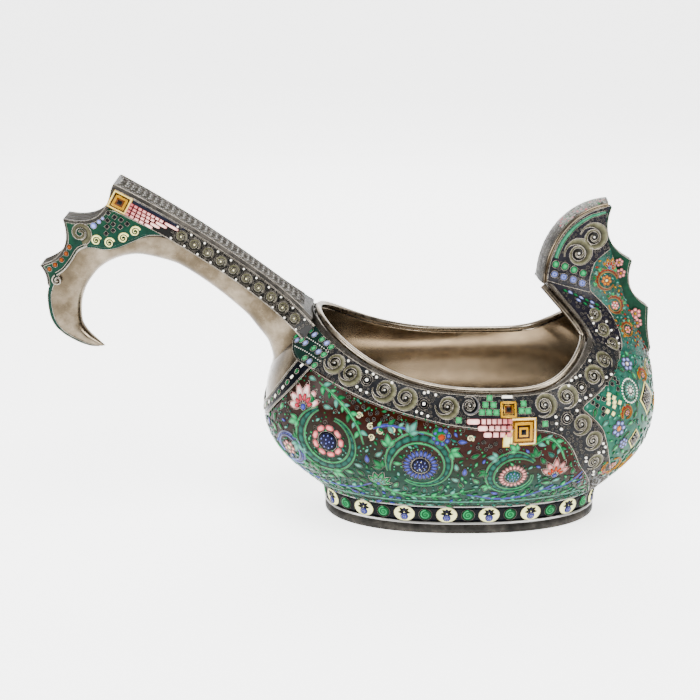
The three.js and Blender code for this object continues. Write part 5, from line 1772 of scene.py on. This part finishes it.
def ground(piece, surface, us, vs, colour, lift=.06):
    u, v = np.meshgrid(np.linspace(*us, 90), np.linspace(*vs, 6))
    points = surface.at(u, v, lift).transpose(1, 0, 2)
    RIBBONS.setdefault(piece + "_ground", []).append((to_frame(points), np.broadcast_to(colour, (90, 6, 4))))


# Hook: lozenges, discs and coils on deep green

HOOK_LOZENGES = [
    (-171.5, 155.3), (-172, 151.7), (-168.5, 153.4), (-165.5, 152), (-162.7, 149.9), (-169.3, 149.9),
    (-172.5, 148.5), (-166, 148.5), (-169.5, 146.8), (-173, 145.2)]
HOOK_COILS = [(-178.1, 141.6), (-171.7, 140.6), (-164.9, 143.0), (-159.1, 146.1)]
HOOK_DOTS = [(-191.6, 137.9), (-193.3, 134.6), (-195.8, 131.4), (-199.1, 128.8), (-202.1, 126.5)]
HOOK_SPINE = [(-182.6, 138.8), (-187.2, 136.4), (-191.0, 131.0), (-195.0, 126.2), (-198.6, 123.6)]
HOOK_WINDOW = (60, 75)
HOOK_LOW = 90


def hook_flat(u, v):
    x = -HOOK_REACH + HOOK_WINDOW[0] * u
    return point(x, hook_half(x), HOOK_LOW + HOOK_WINDOW[1] * v)


HOOK_SIDE = Surface(hook_flat, 60, 60)


def hook_place(x, z):
    return (x + HOOK_REACH) / HOOK_WINDOW[0], (z - HOOK_LOW) / HOOK_WINDOW[1]


def dress_hook():
    name = "hook_cells"
    for x, z in HOOK_LOZENGES:
        cell(name, HOOK_SIDE, hook_place(x, z), diamond(1.9), INK, INK, .35, .05, outline="fine")
    for x, z, radius in ((-179, 148.9, 1.6), (-176.2, 150.9, 1.1), (-174.3, 152.6, .8)):
        cell(name, HOOK_SIDE, hook_place(x, z), circle(radius, 12), LILAC, SKY, .5, .05, outline="fine")
    flat = coil(2.5, 1.9, .3, 1, .14, 16)
    for x, z in HOOK_COILS:
        cell(name, HOOK_SIDE, hook_place(x, z), circle(2.5, 14), INK, LEAF_DEEP, .1, .05)
        ribbon(name, HOOK_SIDE, hook_place(x, z), flat, np.linspace(1.1, .5, len(flat)),
               (CREAM_DEEP, CREAM_LIGHT, CREAM_LIGHT), .45, .1, outline=None)
    flat = coil(4.9, 1.6, 4.9, 1, .14, 22)
    ribbon(name, HOOK_SIDE, hook_place(-185.8, 145.0), flat, np.linspace(3.0, .7, len(flat)),
           (OLIVE_MID * .7, OLIVE_MID, OLIVE_DEEP), .5, .1, ribs=.15)
    orange = mix(RUST, AMBER_LIGHT, .25) * .75
    for x, z in HOOK_DOTS:
        cell(name, HOOK_SIDE, hook_place(x, z), circle(1.35, 10), EARTH, orange, .5, .05, outline="fine")
    for style, drop in (("heavy", 0), ("silver", 1.1)):
        path = smooth_path([hook_place(x - drop * .6, z + drop) for x, z in HOOK_SPINE], 40)
        wire(name + "_wires", style, HOOK_SIDE.at(path[:, 0], path[:, 1], .35))
    flat = coil(2.7, 1.6, 1.9, 1, .15, 16)
    wire(name + "_wires", "heavy", HOOK_SIDE.on(hook_place(-198.6, 121.0), flat, .4))
    dress_hook_edges(name)


# Wires along the cheek's edges, the crest and the back strip
def dress_hook_edges(name):
    us = np.linspace(.02, 1, 120)
    for share, style in ((.02, "silver"), (.1, "fine"), (.97, "silver"), (.92, "fine")):
        wire(name + "_wires", style, HOOK.at(us, share, .12))
    _, crest, inward = crest_line(np.linspace(.01, .99, 120))
    x, _, z = crest.T
    for share, style in ((.97, "silver"), (.55, "dull"), (.2, "dull")):
        wire(name + "_wires", style, point(x, hook_half(x) * share, z) - inward * .1)
    top, floor, half = horn_station(np.linspace(STRIP_PLACES[0] + .1, STRIP_PLACES[1], 60))
    for lift in (.15, STRIP_HEIGHT - .15):
        out = top + unit(top - floor) * lift
        wire(name + "_wires", "silver", point(out[:, 0], half + .12, out[:, 2]))


# Handle plate and crown: raised scrolls of dull silver wire

def plate_point(u, v):
    place, up = handle_frame(u)
    return point(place[..., 0], plate_half(u) * v, place[..., 2])


PLATE_TOP = Surface(plate_point, 200, 10)
CROWN_TOP = Surface(lambda u, v: crown_point(mix(.5, 1, v), u), 90, 20)
CROWN_GRANULES = 420


def dress_plate():
    name = "plate_filigree"
    dull_pearl = {"radius": .42, "edge": PEARL * .3, "heart": PEARL * .5, "height": .5, "lift": 0}
    for i, run in enumerate(np.linspace(.07, .965, 34)):
        half = float(plate_half(run))
        hand = 1 if i % 2 else -1
        inner = coil(half * .27, 1.6, 1.6 * hand, hand, .15, 14)
        outer = coil(half * .2, 1.4, -1.6 * hand, -hand, .15, 12)
        wire(name, "dull", PLATE_TOP.on((run, .3), inner, .2))
        wire(name, "dull", PLATE_TOP.on((run + .012, .72), outer, .2))
        for share in (.5, .06):
            pearl(name + "_beads", PLATE_TOP, (run + .014, share), **dull_pearl)
    for share, style in ((.9, "dull"), (.99, "silver"), (.945, "dull")):
        wire(name, style, PLATE_TOP.at(np.linspace(.05, .995, 100), share, .18))


def dress_crown():
    name = "crown_filigree"
    for i, along in enumerate(np.linspace(.05, .93, 18)):
        hand = 1 if i % 2 else -1
        wire(name, "dull", CROWN_TOP.on((along, .32), coil(1.7, 1.5, i * 1.1, hand, .15, 12), .1))
        wire(name, "dull", CROWN_TOP.on((along + .03, .72), coil(1.3, 1.4, i * .7, -hand, .15, 12), .1))
    for share in (.05, .93, .99):
        wire(name, "fine", CROWN_TOP.at(np.linspace(0, 1, 60), share, .1))
    for i in range(CROWN_GRANULES):
        place = (mix(.5, .995, random.random() ** .8), mix(0, .98, random.random()))
        bright = (PINK_DEEP, LEAF_GREEN)[i % 2]
        colour = PEARL * random.uniform(.03, .22) if random.random() < .9 else bright
        pearl(name + "_beads", CROWN_TOP, place, random.uniform(.4, .75), colour, colour, .9, 0)


# Rim strip: a narrow band with fine cross hatching under the bead, wider and brighter up the neck

def dress_rim():
    turns = np.linspace(SHOULDER_TURN, 1, 300)
    for turn in turns:
        wire("rim_hatching", "grain", HULL.at(1 - turn, np.array([.977, .998]), BED + .2))
    path_wire("rim_hatching", "fine", HULL, np.stack([1 - turns, np.full(300, .974)], axis=-1), BED + .2)
    for rise in np.linspace(0, .395, 70):
        wire("rim_hatching", "grain", CHEEK.at(np.array([.005, .046]), rise, BED + .25))
    for forward, style in ((.05, "silver"), (.065, "grain")):
        path_wire("rim_hatching", style, CHEEK, straight_path((forward, 0), (forward, .395), 70), BED + .25)


def make_rim_strip():
    for side, sign in SIDES:
        bm = slab(HULL, window((0, 1 - SHOULDER_TURN), (.975, 1)), BED + .08, .5, 220, 2, None, sign)
        finish_mesh(bm, f"rim_strip_{side}", DARK_SILVER)
        bm = slab(CHEEK, window((0, .05), (0, NECK_END)), BED + .2, .5, 3, 40, None, sign)
        finish_mesh(bm, f"neck_strip_{side}", HANDLE_SILVER)


# Foot: cream discs with blue flowers between green spirals, and twisted wires

def foot_point(u, v):
    inset, z = mix(1.2, -.2, v), mix(5.0, 15.6, v)
    return oval(FOOT_HALF_LENGTH - inset, FOOT_HALF_WIDTH - inset, FOOT_OVAL, math.pi * (1 - u), z)


FOOT = Surface(foot_point, 240, 8)
DISC_PITCH = 20.8
DISC_START = 16.3


def dress_foot():
    name = "foot_cells"
    us = np.linspace(0, 1, 600)
    points = FOOT.at(us, .5)
    run = np.concatenate([[0], np.cumsum(np.linalg.norm(np.diff(points, axis=0), axis=1))])
    for i in range(-1, 16):
        u = float(np.interp(DISC_START + DISC_PITCH * i / 2, run, us))
        (green_disc if i % 2 else cream_disc)(name, (u, .49))
    for v in (.045, .955):
        bead_wire(name + "_wires", FOOT, level_path(v, 500), .3, .6)
    path_wire(name + "_wires", "grain", FOOT, level_path(.12, 600), .7)


def green_disc(name, place):
    cell(name, FOOT, place, circle(3.3, 16), LEAF_DEEP, LEAF_GREEN, .4, .55, outline="grain")
    flat = coil(2.5, 1.7, 1.5, 1, .12, 14)
    ribbon(name, FOOT, place, flat, np.linspace(1.0, .5, len(flat)), (LEAF_GREEN, LEAF_LIGHT, LEAF_GREEN),
           .3, .95, outline=None)


# A blue flower with a curl on it, between four dark leaves and a bud
def cream_disc(name, place):
    flower = np.array([0, -1.6])
    cell(name, FOOT, place, circle(4.4, 20, 1.2), CREAM_LIGHT, CREAM_LIGHT, .3, .55, outline="grain", waist=.93)
    cell(name, FOOT, place, circle(2.2, 12) + flower, INDIGO, LILAC, .5, .8)
    wire(name + "_wires", "fine", FOOT.on(place, coil(1.6, 1.5, 1, 1, .1, 12) + flower, 1.4))
    for angle in (-.1, .75, 2.39, 3.24):
        shape = turned(leaf_outline(3.3, 1.7), angle) + np.array([0, .9])
        cell(name, FOOT, place, shape, INK, INK, .45, .8)
    cell(name, FOOT, place, circle(1.1, 8, .8) + np.array([0, 2.4]), INK, INDIGO, .45, .8)


def make_foot_ground():
    for side, sign in SIDES:
        bm = slab(FOOT, window((0, 1), (.11, .89)), .55, .6, 160, 4, plain_tint(NIGHT), sign)
        finish_mesh(bm, f"foot_ground_{side}", ENAMEL, ["foot_enamel"] if sign > 0 else ())


# The laid lines, cells and strips become meshes, one of each kind and style on each side

def build_wires():
    for (piece, style), lines in WIRES.items():
        material, radius, roundness = WIRE_STYLES[style]
        for side, sign in SIDES:
            curve = bpy.data.curves.new(piece, "CURVE")
            curve.dimensions = "3D"
            curve.bevel_depth = radius * MM
            curve.bevel_resolution = roundness
            curve.use_fill_caps = True
            for points, taper in lines:
                spline = curve.splines.new("POLY")
                spline.points.add(len(points) - 1)
                places = np.ones((len(points), 4))
                places[:, :3] = points * np.array([1, sign, 1])
                spline.points.foreach_set("co", places.ravel())
                if taper is not None:
                    spline.points.foreach_set("radius", np.asarray(taper, float))
            holder = bpy.data.objects.new("holder", curve)
            bpy.context.scene.collection.objects.link(holder)
            drawn = holder.evaluated_get(bpy.context.evaluated_depsgraph_get())
            bm = bmesh.new()
            bm.from_mesh(drawn.to_mesh())
            drawn.to_mesh_clear()
            bpy.data.objects.remove(holder)
            finish_mesh(bm, f"{piece}_{style}_{side}", material)


# A cell is a cone with its cap raised to a point: its rings go to the cell's foot and shoulder
def build_rounds():
    for piece, cells in ROUNDS.items():
        for side, sign in SIDES:
            bm = bmesh.new()
            layer = bm.verts.layers.float_color.new("Tint")
            flip = np.array([1, sign, 1])
            for low, high, top, edge, heart in cells:
                count = len(low)
                made = bmesh.ops.create_cone(bm, cap_ends=True, cap_tris=True, segments=count, radius1=1,
                                             radius2=1, depth=2)["verts"]
                for vert in made:
                    x, y, z = vert.co
                    if abs(x) + abs(y) < .5:
                        vert.co = (top if z > 0 else low.mean(axis=0)) * flip
                        vert[layer] = heart if z > 0 else edge
                        continue
                    k = round(math.atan2(y, x) / (2 * math.pi) * count) % count
                    vert.co = (high if z > 0 else low)[k] * flip
                    vert[layer] = edge if z < 0 else mix(edge, heart, .25)
            finish_mesh(bm, f"{piece}_{side}", BEAD)


def build_ribbons():
    for piece, strips in RIBBONS.items():
        for side, sign in SIDES:
            bm = bmesh.new()
            layer = bm.verts.layers.float_color.new("Tint")
            for points, tints in strips:
                rows, columns = points.shape[:2]
                made = bmesh.ops.create_grid(bm, x_segments=rows - 1, y_segments=columns - 1, size=.5)["verts"]
                for vert in made:
                    i = round((vert.co.x + .5) * (rows - 1))
                    j = round((vert.co.y + .5) * (columns - 1))
                    vert.co = points[i, j] * np.array([1, sign, 1])
                    vert[layer] = tints[i, j]
            finish_mesh(bm, f"{piece}_ribbons_{side}", ENAMEL)


dress_collar()
dress_borders()
dress_diagonal()
dress_side()
dress_front()
dress_head()
dress_blade()
for area, tries in ((collar_area, 3000), (shoulder_area, 700), (leaf_area, 700)):
    for size in (1.15, .7):
        fill_curls("collar_filling", HULL, area, tries, size)
dress_band()
dress_hook()
dress_plate()
dress_crown()
dress_rim()
make_rim_strip()
dress_foot()
make_foot_ground()
build_wires()
build_rounds()
build_ribbons()

# The camera stands where the photograph was taken from

CAMERA_LIFT = math.radians(18)
CAMERA_DISTANCE = 750
SENSOR_WIDTH = 36
LENS = 77.14
AIM = Vector(to_frame(np.array((-56.0, 0.0, 82.7))))

data = bpy.data.cameras.new("camera")
data.lens = LENS
data.sensor_width = SENSOR_WIDTH
camera = bpy.data.objects.new("camera", data)
camera.location = AIM + Vector((0, -math.cos(CAMERA_LIFT), math.sin(CAMERA_LIFT))) * CAMERA_DISTANCE * MM
camera.rotation_euler = (math.pi / 2 - CAMERA_LIFT, 0, 0)
bpy.context.scene.collection.objects.link(camera)
bpy.context.scene.camera = camera

# Softboxes: name, place and size in metres, and watts
SOFTBOXES = [
    ("overhead softbox", (0.1, -0.25, 0.95), 0.6, 17),
    ("left softbox", (-0.8, -0.6, 0.45), 0.4, 11),
    ("right softbox", (0.7, -0.75, 0.45), 0.35, 9),
    ("back softbox", (0.1, 0.75, 0.6), 0.6, 6),
]
for name, place, size, power in SOFTBOXES:
    light = bpy.data.lights.new(name, "AREA")
    light.energy = power
    light.size = size
    lamp = bpy.data.objects.new(name, light)
    lamp.location = place
    lamp.rotation_euler = (AIM - Vector(place)).to_track_quat("-Z", "Y").to_euler()
    bpy.context.scene.collection.objects.link(lamp)

# A faint warm light from all round fills the shadows
world = bpy.data.worlds.new("studio")
world.use_nodes = True
feed(world.node_tree, world.node_tree.nodes["Background"], Color=(1, 0.96, 0.9, 1), Strength=0.22)
bpy.context.scene.world = world

# White paper that lies flat under the kovsh and curves up behind it
PAPER_BEND = 0.6
PAPER_START = 0.9
PAPER_SIZE = 12
PAPER_BACK = 0.25
bm = bmesh.new()
bmesh.ops.create_grid(bm, x_segments=2, y_segments=120, size=PAPER_SIZE)
for vert in bm.verts:
    if vert.co.y > 0:
        vert.co.y *= PAPER_BACK
    along = vert.co.y - PAPER_START
    if along > 0:
        bend = min(along / PAPER_BEND, math.pi / 2)
        vert.co.y = PAPER_START + PAPER_BEND * math.sin(bend)
        vert.co.z = PAPER_BEND * (1 - math.cos(bend)) + max(along - PAPER_BEND * math.pi / 2, 0)
mesh = bpy.data.meshes.new("floor")
bm.to_mesh(mesh)
bm.free()
floor = bpy.data.objects.new("floor", mesh)

# Matt backdrop paper that glows by itself with painted light, more strongly towards the back, so that it stays
# pale up to its edge
paper, tree, shader = new_material("glowing white backdrop paper")
place = add_node(tree, "TexCoord").outputs["Object"]
axes = add_node(tree, "SeparateXYZ", Vector=place)
# Painted light: the paper's own glow, weaker in front and stronger behind, which also lights the kovsh from
# below
glow = add_node(tree, "MapRange", Value=axes.outputs["Y"], From_Min=-0.6, From_Max=-0.17, To_Min=1.2,
                To_Max=2.6)
feed(tree, shader, Base_Color=(0.95, 0.95, 0.95, 1), Roughness=0.9, Emission_Color=(1, 1, 1, 1),
     Emission_Strength=glow.outputs["Result"])
mesh.materials.append(paper)
bpy.context.scene.collection.objects.link(floor)
